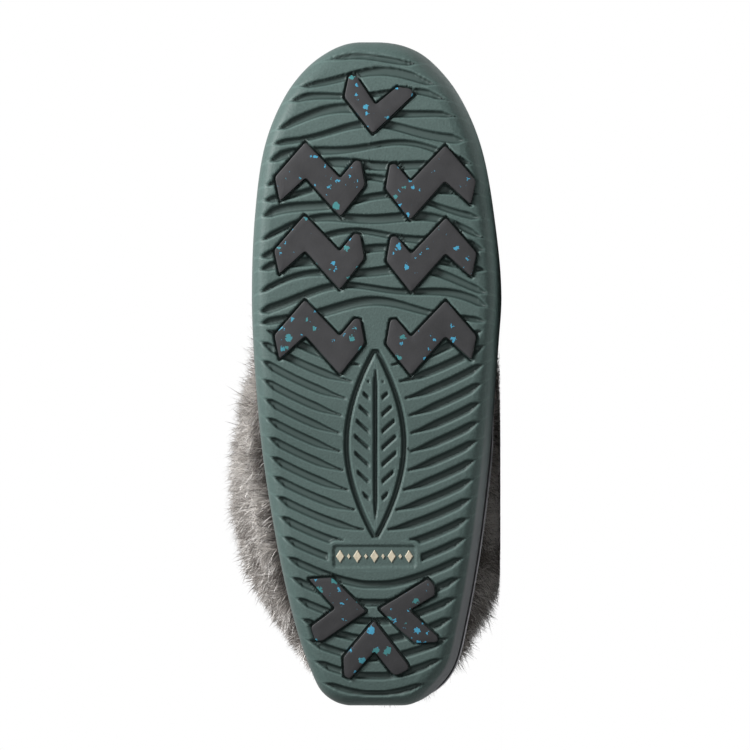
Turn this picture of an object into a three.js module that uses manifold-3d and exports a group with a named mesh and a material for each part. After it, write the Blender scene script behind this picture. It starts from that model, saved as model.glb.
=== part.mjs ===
// A mukluk boot for the left foot, lying on its outer side. Lengths are in millimetres.
// The boot is worked out in its own frame, standing: X towards the inner side of the foot, Y from the heel's
// end towards the toe, Z up from the tread. The group at the end lays it down.
import * as THREE from "three";
import { mergeVertices } from "three/addons/utils/BufferGeometryUtils.js";
import Module from "manifold-3d";

const wasm = await Module();
wasm.setup();

// Driving sizes
const SOLE_LENGTH = 278;
const BALL_WIDTH = 104.4;
const INSTEP_HEIGHT = 77.5;
const COLLAR_HEIGHT = 225;
const WALL = 2.5;
const GAP = 0.3;
const LEAN = THREE.MathUtils.degToRad(2.2);

// Outsole
const LAND_HEIGHT = 1.2;
const OUTSOLE_TOP = 17;
const OUTER_FLARE = 3.3;
const TOE_SPRING = 9;
const SPRING_START = 222;
const HEEL_BEVEL = 1.6;
const HEEL_BEVEL_LENGTH = 16;
const ARCH_RISE = 2;
const ARCH_FROM = 60;
const ARCH_TO = 132;
const POCKET_DEPTH = 3;
const POCKET_MARGIN = 1;
const PLATE = { length: 35, width: 9.6, y: 62.6, x: 0.6, depth: 0.8, corner: 1.5 };
const TREAD_CENTRE = 0.2;

// Tread grooves: widths at the land and at the floor, depth, how near a groove comes to a lug or the plate,
// how thin it is at its ends, and how far a cutter starts below what it cuts
const GROOVE_WIDTH = 3.4;
const GROOVE_FLOOR = 1.5;
const GROOVE_DEPTH = 2;
const GROOVE_MARGIN = 2.4;
const GROOVE_END = 0.45;
const CUTTER_OVERHANG = 1.5;
// Ripples over the forefoot bow towards the toe and wave a little.
const RIPPLES = { first: 271, spacing: 7.4, count: 15, bow: 8, reach: 45, wave: 1.5, waveLength: 52 };
const RIPPLE_TURN = 1.9;
// Veins leave the leaf in the middle of the foot and sweep forward to the sole's edges; behind the plate they
// cross the heel from edge to edge.
const VEINS = { first: 66, spacing: 7.6, low: -8, high: 10, start: 3.4, reach: 52, sweep: 20, power: 1.5 };
const VEINS_END = 157;
// The leaf's ends, half its width, how full it is, the width of the groove round it, and its clearance
const LEAF = { from: 70, to: 149, half: 12, full: 0.9, groove: 2.5, clear: 2.6 };
// How far apart the points of a groove's path are, and half the width that the paths span
const PATH_STEP = 9;
const PATH_HALF = 53;

// Layers over the outsole
const MIDSOLE_THICKNESS = 4;
const MIDSOLE_INSET = 1.6;
const MIDSOLE_ROUND = 0.8;
// On the outer side the midsole stands out as a ledge behind the ball of the foot: by how much, and where it
// ends towards the toe.
const LEDGE = { out: 3, full: 100, end: 150 };
const FEATHER_HEIGHT = OUTSOLE_TOP + GAP + MIDSOLE_THICKNESS + GAP;
const INSOLE_THICKNESS = 4;

// Fur sleeve: its skin's depth and what share of it is left at the rims and behind the heel, how far the lock
// tips stand out and hang down, what share of that the shortest, the longest and the hollows have, tiers and
// locks in a tier
const FUR_SKIN = 10;
const RIM_SHARE = { low: 0.6, high: 0.7 };
const BACK_SHARE = 0.7;
const BACK_REACH = 0.4;
const LOCK_REACH = 6.5;
const LOCK_DROOP = 9;
const LOCK_SHARE = { short: 0.75, long: 1.25, hollow: 0.15 };
const TIER_SHARE = 0.9;
const FUR_TIERS = 6;
const LOCKS_ROUND = 28;

// Counts of steps round a ring: the sole's and the upper's
const SOLE_STEPS = 72;
const UPPER_STEPS = 48;

// The sole's outline: shares of the length, and of half the ball width on the inner and the outer side,
// counted from its own middle line
const OUTLINE_CENTRE = -0.6;
const OUTLINE = [
  { along: 0, inner: 0.209, outer: 0.186 },
  { along: 0.02, inner: 0.437, outer: 0.458 },
  { along: 0.054, inner: 0.53, outer: 0.606 },
  { along: 0.131, inner: 0.666, outer: 0.715 },
  { along: 0.25, inner: 0.806, outer: 0.825 },
  { along: 0.392, inner: 0.923, outer: 0.913 },
  { along: 0.544, inner: 0.988, outer: 0.977 },
  { along: 0.617, inner: 1, outer: 1 },
  { along: 0.737, inner: 0.975, outer: 0.942 },
  { along: 0.842, inner: 0.896, outer: 0.837 },
  { along: 0.9165, inner: 0.738, outer: 0.671 },
  { along: 0.958, inner: 0.575, outer: 0.512 },
  { along: 0.987, inner: 0.375, outer: 0.32 },
  { along: 1, inner: 0.13, outer: -0.011 },
];
// Where the outer side's flare sets in and is full, as how much a side faces outward
const FLARE_FACING = { from: 0.15, full: 0.8 };

// The outsole's edge from the flat tread up over the rolled edge and the side wall to the lip
const SOLE_EDGE = [
  { inset: 6.2, height: LAND_HEIGHT },
  { inset: 3.6, height: 1.9 },
  { inset: 1.5, height: 3.9 },
  { inset: 0.2, height: 6.8 },
  { inset: 0, height: 15.6 },
  { inset: 1.2, height: OUTSOLE_TOP },
];

// Sections of the upper from the feather line to the collar, each a slice between a point on the back and one
// on the front. back and front are shares of the sole's length. A rise of 0 to 1 is the share of the instep's
// height, and 1 to 2 goes on from there to the collar. width scales the sole's outline and last is the
// outline's share in the section's shape; the oval that takes over is heel and fore wide, as shares of the
// ball width, with full its fullness and outer the outer side's share.
const SECTION_COLUMNS = [
  "level", "back", "backRise", "front", "frontRise", "width", "last", "heel", "fore", "full", "outer",
];
const SECTION_ROWS = [
  [0, 0.0131, 0.279, 0.9851, 0.279, 0.95, 1, 0.345, 0.479, 0.7, 1],
  [1, 0.0051, 0.413, 0.9909, 0.413, 0.982, 1, 0.364, 0.479, 0.72, 1],
  [2, 0.0029, 0.542, 0.98, 0.542, 0.955, 0.95, 0.364, 0.469, 0.74, 1],
  [3, 0.0029, 0.671, 0.9401, 0.652, 0.9, 0.6, 0.364, 0.441, 0.76, 1],
  [4, 0.0051, 0.8, 0.8748, 0.742, 0.84, 0.25, 0.374, 0.412, 0.8, 1],
  [5, 0.0094, 0.942, 0.7985, 0.852, 0.8, 0, 0.393, 0.398, 0.84, 0.99],
  [6, 0.0174, 1.058, 0.7223, 1, 0.8, 0, 0.421, 0.407, 0.87, 0.98],
  [7, 0.0269, 1.159, 0.6606, 1.102, 0.8, 0, 0.455, 0.436, 0.89, 0.97],
  [8, 0.0348, 1.275, 0.6171, 1.234, 0.8, 0, 0.489, 0.474, 0.9, 0.96],
  [9, 0.0399, 1.431, 0.5898, 1.41, 0.8, 0, 0.517, 0.508, 0.9, 0.95],
  [10, 0.0436, 1.668, 0.5753, 1.661, 0.8, 0, 0.532, 0.527, 0.9, 0.945],
  [11, 0.0436, 2, 0.5735, 2, 0.8, 0, 0.536, 0.536, 0.9, 0.94],
];
const COLLAR_LEVEL = SECTION_ROWS.length - 1;
// Over which shares of the way forward the heel's width gives way to the fore one
const WIDTH_TURN = { from: 0.15, to: 0.75 };

// The moccasin seam runs round the toe at one level and climbs under the fur; levels are the sections'.
// SEAM_FADE is where it grows to its full height, as ways from heel to toe.
const SEAM = { toe: 2.65, rise: 3.85, from: 0.55, power: 1.6, reach: 0.32, crown: 0.13, height: 2.2 };
const SEAM_FADE = { from: 0.5, to: 0.67 };
// The height of the fur's lower edge at the back and at the front, as heights go on the back of the boot
const FUR_EDGE = { back: 68, front: 98 };
// The binding round the collar: out from the wall's outer face, and up from the rim
const BINDING = [
  { out: -WALL - 1, up: 0 },
  { out: 1, up: 0 },
  { out: 1.4, up: 3 },
  { out: -WALL / 2, up: 5 },
  { out: -WALL - 1.4, up: 3 },
];

// The zigzag lug, from its peak: towards the middle of the sole and back towards the heel
const ZIGZAG = [
  { inward: 0, back: 0 },
  { inward: 14.5, back: 15.2 },
  { inward: 20.7, back: 7.7 },
  { inward: 23, back: 8 },
  { inward: 24.8, back: 18 },
  { inward: 14.6, back: 31 },
  { inward: 0.2, back: 14.8 },
  { inward: -10.6, back: 24.6 },
  { inward: -12.7, back: 14.7 },
];
// The peaks of the zigzag lugs on the inner and the outer side of the sole
const ZIGZAG_ROWS = [
  { peak: 29.1, inner: 235, outer: 233.6 },
  { peak: 29.4, inner: 204.6, outer: 203.5 },
  { peak: 29.3, inner: 169.3, outer: 169 },
];
// The lugs of the toe and the heel, by their corners
const TOE_LUG = [
  { x: 11.2, y: 263.3 },
  { x: 13.1, y: 254 },
  { x: 1.3, y: 238.6 },
  { x: -15.8, y: 255 },
  { x: -14.4, y: 257.5 },
  { x: -8.9, y: 258.3 },
  { x: 0.2, y: 250.6 },
  { x: 8.5, y: 263.1 },
];
const HEEL_LUG_INNER = [
  { x: 27.9, y: 53.2 },
  { x: 16.8, y: 41 },
  { x: 27.1, y: 33.3 },
  { x: 25.2, y: 27.5 },
  { x: 22.3, y: 27.5 },
  { x: 4, y: 39.9 },
  { x: 18.1, y: 53.7 },
];
const HEEL_LUG_OUTER = [
  { x: -1.5, y: 40.8 },
  { x: -10.5, y: 31.6 },
  { x: -16.3, y: 26.6 },
  { x: -25.4, y: 27 },
  { x: -25.9, y: 29.1 },
  { x: -13.9, y: 40.2 },
  { x: -24.6, y: 46.6 },
  { x: -24.3, y: 50.8 },
  { x: -21.7, y: 53.2 },
];
const HEEL_LUG_CENTRE = [
  { x: 0.7, y: 35.8 },
  { x: 13.5, y: 20.6 },
  { x: 13.1, y: 12.9 },
  { x: 11, y: 11.6 },
  { x: 0.6, y: 23.3 },
  { x: -6.9, y: 13.7 },
  { x: -8.9, y: 13.3 },
  { x: -13.7, y: 15.8 },
  { x: -13.1, y: 17.9 },
];

// Materials
const green = new THREE.MeshStandardMaterial({ color: 0x4f6660, roughness: 0.75, metalness: 0 });
const black = new THREE.MeshStandardMaterial({ color: 0x35353a, roughness: 0.7, metalness: 0 });
const darkGrey = new THREE.MeshStandardMaterial({ color: 0x3c4042, roughness: 0.8, metalness: 0 });
const suede = new THREE.MeshStandardMaterial({ color: 0x6d6a68, roughness: 0.95, metalness: 0 });
const felt = new THREE.MeshStandardMaterial({ color: 0xc9c0b2, roughness: 1, metalness: 0 });
const furGrey = new THREE.MeshStandardMaterial({ color: 0x8f8780, roughness: 1, metalness: 0 });

const { lerp, smoothstep, clamp } = THREE.MathUtils;

// Steps for slopes: in turns and levels of the upper, and in millimetres between points that count as one
const TURN_STEP = 0.004;
const LEVEL_STEP = 0.02;
const SAME_POINT = 1e-4;

// The value of one named column of a table at any place along another, on a smooth curve through the rows.
function column(rows, at, name) {
  const places = rows.map((row) => row[at]);
  const values = rows.map((row) => row[name]);
  const curve = new THREE.CubicInterpolant(places, values, 1);
  return (place) => curve.evaluate(place)[0];
}

// A manifold solid from a closed three.js geometry.
function solidFrom(geometry) {
  geometry.deleteAttribute("normal");
  geometry.deleteAttribute("uv");
  const merged = mergeVertices(geometry, SAME_POINT);
  const vertProperties = new Float32Array(merged.getAttribute("position").array);
  const triVerts = new Uint32Array(merged.index.array);
  return new wasm.Manifold(new wasm.Mesh({ numProp: 3, vertProperties, triVerts }));
}

// A named mesh from a solid.
function meshFrom(solid, name, material) {
  const { vertProperties, triVerts } = solid.getMesh();
  const geometry = new THREE.BufferGeometry();
  geometry.setAttribute("position", new THREE.BufferAttribute(vertProperties, 3));
  geometry.setIndex(new THREE.BufferAttribute(triVerts, 1));
  geometry.computeVertexNormals();
  const mesh = new THREE.Mesh(geometry, material);
  mesh.name = name;
  return mesh;
}

// A closed skin over rings of equal, even count, each anticlockwise seen from the next. Looped rings close on
// the first one; otherwise rungs across the first and the last ring close the ends.
function skin(rings, looped) {
  const count = rings[0].length;
  const half = count / 2;
  const faces = [];
  const last = looped ? rings.length : rings.length - 1;
  for (let ring = 0; ring < last; ring += 1) {
    const below = ring * count;
    const above = ((ring + 1) % rings.length) * count;
    for (let step = 0; step < count; step += 1) {
      const next = (step + 1) % count;
      faces.push(below + step, below + next, above + next);
      faces.push(below + step, above + next, above + step);
    }
  }
  const rung = (start, a, b, c, turned) => {
    faces.push(start + a, start + (turned ? c : b), start + (turned ? b : c));
  };
  for (const [start, turned] of looped ? [] : [[0, true], [(rings.length - 1) * count, false]]) {
    for (let step = 0; step < half; step += 1) {
      const across = (count - step) % count;
      const acrossNext = count - step - 1;
      if (step > 0) rung(start, step, step + 1, across, turned);
      if (step < half - 1) rung(start, step + 1, acrossNext, across, turned);
    }
  }
  const geometry = new THREE.BufferGeometry();
  const points = rings.flat().flatMap((point) => point.toArray());
  geometry.setAttribute("position", new THREE.Float32BufferAttribute(points, 3));
  geometry.setIndex(faces);
  return geometry;
}

// Points round a ring that starts at the heel, runs up the inner side to the toe and comes back down the
// outer side. pointAt takes the way from heel to toe, 0 to 1, and the side, 1 inner or -1 outer.
function ringOf(steps, pointAt) {
  return Array.from({ length: steps }, (_, step) => {
    const turn = (2 * step) / steps;
    return turn <= 1 ? pointAt(turn, 1) : pointAt(2 - turn, -1);
  });
}

// The level directions that point out of a ring at each of its points.
function outwards(ring) {
  return ring.map((_, step) => {
    const next = ring[(step + 1) % ring.length];
    const before = ring[(step + ring.length - 1) % ring.length];
    return new THREE.Vector3(next.y - before.y, before.x - next.x, 0).normalize();
  });
}

// How much a place on the sole rises: toe spring, and at the tread the arch and the heel's bevel.
function spring(y) {
  return TOE_SPRING * (Math.max(0, y - SPRING_START) / (SOLE_LENGTH - SPRING_START)) ** 2;
}
function treadRise(y) {
  const along = clamp((y - ARCH_FROM) / (ARCH_TO - ARCH_FROM), 0, 1);
  const bevel = Math.max(0, HEEL_BEVEL_LENGTH - y) / HEEL_BEVEL_LENGTH;
  return ARCH_RISE * Math.sin(Math.PI * along) ** 2 + HEEL_BEVEL * bevel ** 2;
}
// A height given over the flat tread, where the sole bends.
function bent(y, height) {
  const share = clamp(1 - height / OUTSOLE_TOP, 0, 1);
  return height + spring(y) + treadRise(y) * share;
}

// The sole's outline. Its stations crowd towards both ends, as the cosine of the way along.
const stations = OUTLINE.map((row) => ({ ...row, way: Math.acos(1 - 2 * row.along) / Math.PI }));
const innerShare = column(stations, "way", "inner");
const outerShare = column(stations, "way", "outer");
function alongShare(way) {
  return (1 - Math.cos(Math.PI * way)) / 2;
}
function outlineX(way, side) {
  const inner = (BALL_WIDTH / 2) * innerShare(way);
  const outer = (-BALL_WIDTH / 2) * outerShare(way);
  if (way === 0 || way === 1) return OUTLINE_CENTRE + (inner + outer) / 2;
  return OUTLINE_CENTRE + (side > 0 ? inner : outer);
}
const outline = ringOf(
  SOLE_STEPS,
  (way, side) => new THREE.Vector3(outlineX(way, side), SOLE_LENGTH * alongShare(way), 0),
);
const outlineOut = outwards(outline);
// The outline moved in by an inset, and on its outer side by a flare, at a height over the flat tread.
function soleRing(inset, height, flareAt = () => 0) {
  return outline.map((point, step) => {
    const out = outlineOut[step];
    const outer = smoothstep(-out.x, FLARE_FACING.from, FLARE_FACING.full);
    const moved = point.clone().addScaledVector(out, -inset - flareAt(point.y) * outer);
    moved.z = bent(moved.y, height);
    return moved;
  });
}

// Extrudes a plan outline between two heights over the flat tread and bends it with the sole.
function plate(corners, low, high) {
  const shape = new THREE.Shape(corners.map(({ x, y }) => new THREE.Vector2(x, y)));
  const geometry = new THREE.ExtrudeGeometry(shape, { depth: high - low, bevelEnabled: false });
  const place = geometry.getAttribute("position");
  for (let i = 0; i < place.count; i += 1) {
    const y = place.getY(i);
    place.setZ(i, low + place.getZ(i) + bent(y, LAND_HEIGHT) - LAND_HEIGHT);
  }
  return solidFrom(geometry);
}

// The corners of an outline moved out by a distance, each along the middle of its two sides' normals. Sharp
// corners go no further out than twice the distance.
function widened(corners, distance) {
  const sharpest = 0.5;
  const turn = THREE.ShapeUtils.area(corners) > 0 ? 1 : -1;
  const normal = (a, b) => new THREE.Vector2((b.y - a.y) * turn, (a.x - b.x) * turn).normalize();
  return corners.map((corner, i) => {
    const before = corners[(i + corners.length - 1) % corners.length];
    const after = corners[(i + 1) % corners.length];
    const first = normal(before, corner);
    const second = normal(corner, after);
    const middle = first.clone().add(second).normalize();
    const reach = distance / Math.max(middle.dot(first), sharpest);
    return { x: corner.x + middle.x * reach, y: corner.y + middle.y * reach };
  });
}

function zigzagLug(side, peak, y) {
  return ZIGZAG.map(({ inward, back }) => ({ x: TREAD_CENTRE + side * (peak - inward), y: y - back }));
}

// Every lug's name and corners.
function lugOutlines() {
  const lugs = [{ name: "lug_toe", corners: TOE_LUG }];
  ZIGZAG_ROWS.forEach(({ peak, inner, outer }, row) => {
    lugs.push({ name: "lug_inner_" + (row + 1), corners: zigzagLug(1, peak, inner) });
    lugs.push({ name: "lug_outer_" + (row + 1), corners: zigzagLug(-1, peak, outer) });
  });
  lugs.push({ name: "lug_heel_inner", corners: HEEL_LUG_INNER });
  lugs.push({ name: "lug_heel_outer", corners: HEEL_LUG_OUTER });
  lugs.push({ name: "lug_heel_centre", corners: HEEL_LUG_CENTRE });
  return lugs;
}
const lugs = lugOutlines();

// The recess of the plate: a rectangle with cut corners.
function plateCorners() {
  const halfLength = PLATE.length / 2;
  const halfWidth = PLATE.width / 2;
  const cut = PLATE.corner;
  const quarter = [[1, 1], [-1, 1], [-1, -1], [1, -1]];
  return quarter.flatMap(([right, up]) => {
    const wide = { x: PLATE.x + right * halfLength, y: PLATE.y + up * (halfWidth - cut) };
    const tall = { x: PLATE.x + right * (halfLength - cut), y: PLATE.y + up * halfWidth };
    return right === up ? [wide, tall] : [tall, wide];
  });
}

// Whether a place on the tread is clear of every lug and the plate, by a margin.
const occupied = [...lugs.map((lug) => lug.corners), plateCorners()];
const kept = occupied.map((corners) => widened(corners, GROOVE_MARGIN));
function inside(x, y, corners) {
  let within = false;
  corners.forEach((a, i) => {
    const b = corners[(i + corners.length - 1) % corners.length];
    if (a.y > y !== b.y > y && x < ((b.x - a.x) * (y - a.y)) / (b.y - a.y) + a.x) within = !within;
  });
  return within;
}
function isClear({ x, y }) {
  return !kept.some((corners) => inside(x, y, corners));
}

// A groove's path, cut into the runs that stay clear of the lugs.
function clearRuns(path, shortest = 3) {
  const runs = [[]];
  for (const point of path) {
    if (isClear(point)) runs[runs.length - 1].push(point);
    else if (runs[runs.length - 1].length) runs.push([]);
  }
  return runs.filter((run) => run.length >= shortest);
}

// The solid that cuts one groove: a tapered channel carried along the path, pointed at its inner ends.
function grooveCutter(path, width) {
  const spread = (width - GROOVE_FLOOR) / 2 / GROOVE_DEPTH;
  const rings = path.map((point, i) => {
    const along = path[Math.min(i + 1, path.length - 1)].clone().sub(path[Math.max(i - 1, 0)]).normalize();
    const right = new THREE.Vector2(along.y, -along.x);
    const thin = i === 0 || i === path.length - 1 ? GROOVE_END : 1;
    const corner = (half, height) => {
      const x = point.x + right.x * half * thin;
      const y = point.y + right.y * half * thin;
      return new THREE.Vector3(x, y, bent(point.y, LAND_HEIGHT) + height);
    };
    const wide = width / 2 + spread * CUTTER_OVERHANG;
    const floor = GROOVE_FLOOR / 2;
    return [
      corner(-wide, -CUTTER_OVERHANG),
      corner(wide, -CUTTER_OVERHANG),
      corner(floor, GROOVE_DEPTH),
      corner(-floor, GROOVE_DEPTH),
    ].reverse();
  });
  return solidFrom(skin(rings, false));
}

// Evenly spaced numbers from one to another, both included.
function spread(from, to) {
  const count = Math.max(2, Math.round(Math.abs(to - from) / PATH_STEP));
  return Array.from({ length: count + 1 }, (_, i) => lerp(from, to, i / count));
}

function ripple(index) {
  const y = RIPPLES.first - RIPPLES.spacing * index;
  return spread(-PATH_HALF, PATH_HALF).map((x) => {
    const wave = RIPPLES.wave * Math.sin((2 * Math.PI * x) / RIPPLES.waveLength + index * RIPPLE_TURN);
    return new THREE.Vector2(x, y - RIPPLES.bow * (x / RIPPLES.reach) ** 2 + wave);
  });
}

// Half the leaf's width: a power of a sine over its length.
function leafHalf(y) {
  const way = clamp((y - LEAF.from) / (LEAF.to - LEAF.from), 0, 1);
  return LEAF.half * Math.sin(Math.PI * way) ** LEAF.full;
}
function leafSide(side) {
  return spread(LEAF.from, LEAF.to).map((y) => new THREE.Vector2(TREAD_CENTRE + side * leafHalf(y), y));
}

// A vein between two distances from the tread's middle line, which are below 0 on the outer side.
function vein(index, from, to) {
  const y = VEINS.first + VEINS.spacing * index;
  return spread(from, to).map((across) => {
    const way = Math.max(0, (Math.abs(across) - VEINS.start) / (VEINS.reach - VEINS.start));
    return new THREE.Vector2(TREAD_CENTRE + across, y + VEINS.sweep * way ** VEINS.power);
  });
}
function veinPaths() {
  const paths = [];
  for (let index = VEINS.low; index < 0; index += 1) paths.push(vein(index, -PATH_HALF, PATH_HALF));
  for (let index = 0; index <= VEINS.high; index += 1) {
    const start = leafHalf(VEINS.first + VEINS.spacing * index) + LEAF.clear;
    paths.push(vein(index, start, PATH_HALF), vein(index, -start, -PATH_HALF));
  }
  return paths.map((path) => path.filter(({ y }) => y < VEINS_END));
}

function grooveCutters() {
  const ripples = Array.from({ length: RIPPLES.count }, (_, index) => ripple(index));
  const onSole = ripples.map((path) => path.filter(({ y }) => y < SOLE_LENGTH));
  const lines = [...onSole, ...veinPaths()].flatMap((path) => clearRuns(path));
  const leaf = [leafSide(1), leafSide(-1)].map((path) => grooveCutter(path, LEAF.groove));
  return [...lines.map((path) => grooveCutter(path, GROOVE_WIDTH)), ...leaf];
}

function outsole() {
  const flareTop = SOLE_EDGE[SOLE_EDGE.length - 2].height;
  const rings = SOLE_EDGE.map(({ inset, height }) => {
    const flare = OUTER_FLARE * Math.max(0, 1 - (height - LAND_HEIGHT) / (flareTop - LAND_HEIGHT));
    return soleRing(inset, height, () => flare);
  });
  const pocketTop = LAND_HEIGHT + POCKET_DEPTH;
  const cutters = lugs.map((lug) => plate(widened(lug.corners, POCKET_MARGIN), -CUTTER_OVERHANG, pocketTop));
  cutters.push(plate(plateCorners(), -CUTTER_OVERHANG, LAND_HEIGHT + PLATE.depth));
  cutters.push(...grooveCutters());
  return cutters.reduce((body, cutter) => body.subtract(cutter), solidFrom(skin(rings, false)));
}

function midsole() {
  const low = OUTSOLE_TOP + GAP;
  const high = low + MIDSOLE_THICKNESS;
  const ledge = (y) => LEDGE.out * (smoothstep(y, LEDGE.full, LEDGE.end) - 1);
  const rings = [
    soleRing(MIDSOLE_INSET + MIDSOLE_ROUND, low, ledge),
    soleRing(MIDSOLE_INSET, (low + high) / 2, ledge),
    soleRing(MIDSOLE_INSET + MIDSOLE_ROUND, high, ledge),
  ];
  return solidFrom(skin(rings, false));
}

// The upper's sections in millimetres, worked out from the driving sizes.
function risen(rise) {
  return rise <= 1 ? rise * INSTEP_HEIGHT : lerp(INSTEP_HEIGHT, COLLAR_HEIGHT, rise - 1);
}
const sections = SECTION_ROWS.map((row) => {
  const share = Object.fromEntries(SECTION_COLUMNS.map((name, i) => [name, row[i]]));
  return {
    ...share,
    back: SOLE_LENGTH * share.back,
    front: SOLE_LENGTH * share.front,
    backHeight: risen(share.backRise),
    frontHeight: risen(share.frontRise),
    heel: BALL_WIDTH * share.heel,
    fore: BALL_WIDTH * share.fore,
  };
});

// The upper's outer surface between two points of a slice, at any level from the feather line to the collar.
const section = Object.fromEntries(
  Object.keys(sections[0]).map((name) => [name, column(sections, "level", name)]),
);
function upperPoint(way, side, level) {
  const share = alongShare(way);
  const y = lerp(section.back(level), section.front(level), share);
  const last = clamp(section.last(level), 0, 1);
  const forward = smoothstep(share, WIDTH_TURN.from, WIDTH_TURN.to);
  const width = lerp(section.heel(level), section.fore(level), forward);
  const round = Math.sin(Math.PI * way) ** section.full(level);
  const oval = side * width * round * (side < 0 ? section.outer(level) : 1);
  const lasted = outlineX(way, side) * section.width(level);
  const z = lerp(section.backHeight(level), section.frontHeight(level), share) + spring(y) * last;
  return new THREE.Vector3(lerp(oval, lasted, last), y, z);
}
function upperAt(turn, level) {
  const round = ((turn % 1) + 1) % 1;
  return round <= 0.5 ? upperPoint(2 * round, 1, level) : upperPoint(2 - 2 * round, -1, level);
}
// The direction out of the upper's surface. At the two rims it is kept level.
function upperOut(turn, level) {
  const low = Math.max(level - LEVEL_STEP, 0);
  const high = Math.min(level + LEVEL_STEP, COLLAR_LEVEL);
  const round = upperAt(turn + TURN_STEP, level).sub(upperAt(turn - TURN_STEP, level));
  const up = upperAt(turn, high).sub(upperAt(turn, low));
  const out = round.cross(up);
  if (level <= 0 || level >= COLLAR_LEVEL) out.z = 0;
  return out.normalize();
}
function upperRing(steps, levelAt, raiseAt) {
  return Array.from({ length: steps }, (_, step) => {
    const turn = step / steps;
    const way = turn <= 0.5 ? 2 * turn : 2 - 2 * turn;
    const level = levelAt(way);
    const raise = typeof raiseAt === "number" ? raiseAt : raiseAt(way);
    return upperAt(turn, level).addScaledVector(upperOut(turn, level), raise);
  });
}

function seamLevel(way) {
  const away = Math.max(0, 1 - way) / (1 - SEAM.from);
  return SEAM.toe + SEAM.rise * Math.min(1, away) ** SEAM.power;
}
function seamHeight(way) {
  return SEAM.height * smoothstep(way, SEAM_FADE.from, SEAM_FADE.to);
}

// The rings of the upper's outer surface, moved out by a distance, with the moccasin seam raised on them.
const BELOW_SEAM = [0, 0.25, 0.5, 0.75];
const ABOVE_SEAM = [0.14, 0.28, 0.42, 0.58, 0.76, 1];
const underSeam = (share) => (way) => seamLevel(way) * share;
const overSeam = (share) => (way) => lerp(seamLevel(way), COLLAR_LEVEL, share);
const nearSeam = (away) => (way) => seamLevel(way) + away;
function upperRings(raise) {
  const crown = (way) => raise + seamHeight(way);
  return [
    ...BELOW_SEAM.map((share) => upperRing(UPPER_STEPS, underSeam(share), raise)),
    upperRing(UPPER_STEPS, nearSeam(-SEAM.reach), raise),
    upperRing(UPPER_STEPS, nearSeam(-SEAM.crown), crown),
    upperRing(UPPER_STEPS, nearSeam(SEAM.crown), crown),
    upperRing(UPPER_STEPS, nearSeam(SEAM.reach), raise),
    ...ABOVE_SEAM.map((share) => upperRing(UPPER_STEPS, overSeam(share), raise)),
  ];
}

function upper() {
  const inner = [
    ...BELOW_SEAM.map((share) => upperRing(UPPER_STEPS, underSeam(share), -WALL)),
    upperRing(UPPER_STEPS, nearSeam(0), -WALL),
    ...ABOVE_SEAM.map((share) => upperRing(UPPER_STEPS, overSeam(share), -WALL)),
  ];
  return solidFrom(skin([...upperRings(0), ...inner.reverse()], true));
}

// The upper's whole form, filled, a gap larger and taller than the upper: it cuts what is worn over it.
function upperForm() {
  const rings = upperRings(GAP);
  const over = rings[rings.length - 1].map((point) => point.clone().setZ(COLLAR_HEIGHT + FUR_SKIN));
  return solidFrom(skin([...rings, over], false));
}

function insole() {
  const edge = upperRing(UPPER_STEPS, () => 0, -WALL - 2 * GAP);
  const atHeight = (height) =>
    edge.map((point) => new THREE.Vector3(point.x, point.y, height + spring(point.y)));
  return solidFrom(skin([atHeight(FEATHER_HEIGHT), atHeight(FEATHER_HEIGHT + INSOLE_THICKNESS)], false));
}

function collar() {
  const rings = BINDING.map(({ out, up }) =>
    upperRing(UPPER_STEPS, () => COLLAR_LEVEL, out).map((point) => point.setZ(COLLAR_HEIGHT + GAP + up)),
  );
  return solidFrom(skin(rings, true));
}

const levelAtHeight = column(sections, "backHeight", "level");

// A number from 0 to 1 that is always the same for the same lock.
function chance(tier, lock) {
  const mixed = Math.sin(tier * 127.1 + lock * 311.7) * 43758.5453;
  return mixed - Math.floor(mixed);
}

// The upper's level at a share of the fur's height. The fur's lower edge climbs from the back to the front.
function furLevel(share) {
  const climb = { from: 0.05, to: 0.95 };
  return (way) => {
    const edge = lerp(FUR_EDGE.back, FUR_EDGE.front, smoothstep(way, climb.from, climb.to));
    return levelAtHeight(lerp(edge, COLLAR_HEIGHT, share));
  };
}
// How deep the fur is round the boot, as a share of its full depth: it lies flatter behind the heel.
function furDepth(way) {
  return lerp(BACK_SHARE, 1, smoothstep(way, 0, BACK_REACH));
}

// A ring of lock tips and the hollows between them, at the lower edge of a tier.
function lockRing(tier) {
  const steps = LOCKS_ROUND * 2;
  const levelAt = furLevel(tier / FUR_TIERS);
  const across = 0.1;
  return Array.from({ length: steps }, (_, step) => {
    const turn = step / steps;
    const way = turn <= 0.5 ? 2 * turn : 2 - 2 * turn;
    const level = levelAt(way);
    const out = upperOut(turn, level);
    const down = upperAt(turn, level - across).sub(upperAt(turn, level + across)).normalize();
    const isTip = (step + tier) % 2 === 0;
    const tip = lerp(LOCK_SHARE.short, LOCK_SHARE.long, chance(tier, step));
    const long = isTip ? tip : LOCK_SHARE.hollow;
    return upperAt(turn, level)
      .addScaledVector(out, (FUR_SKIN + LOCK_REACH * long) * furDepth(way))
      .addScaledVector(down, LOCK_DROOP * long);
  });
}

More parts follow.
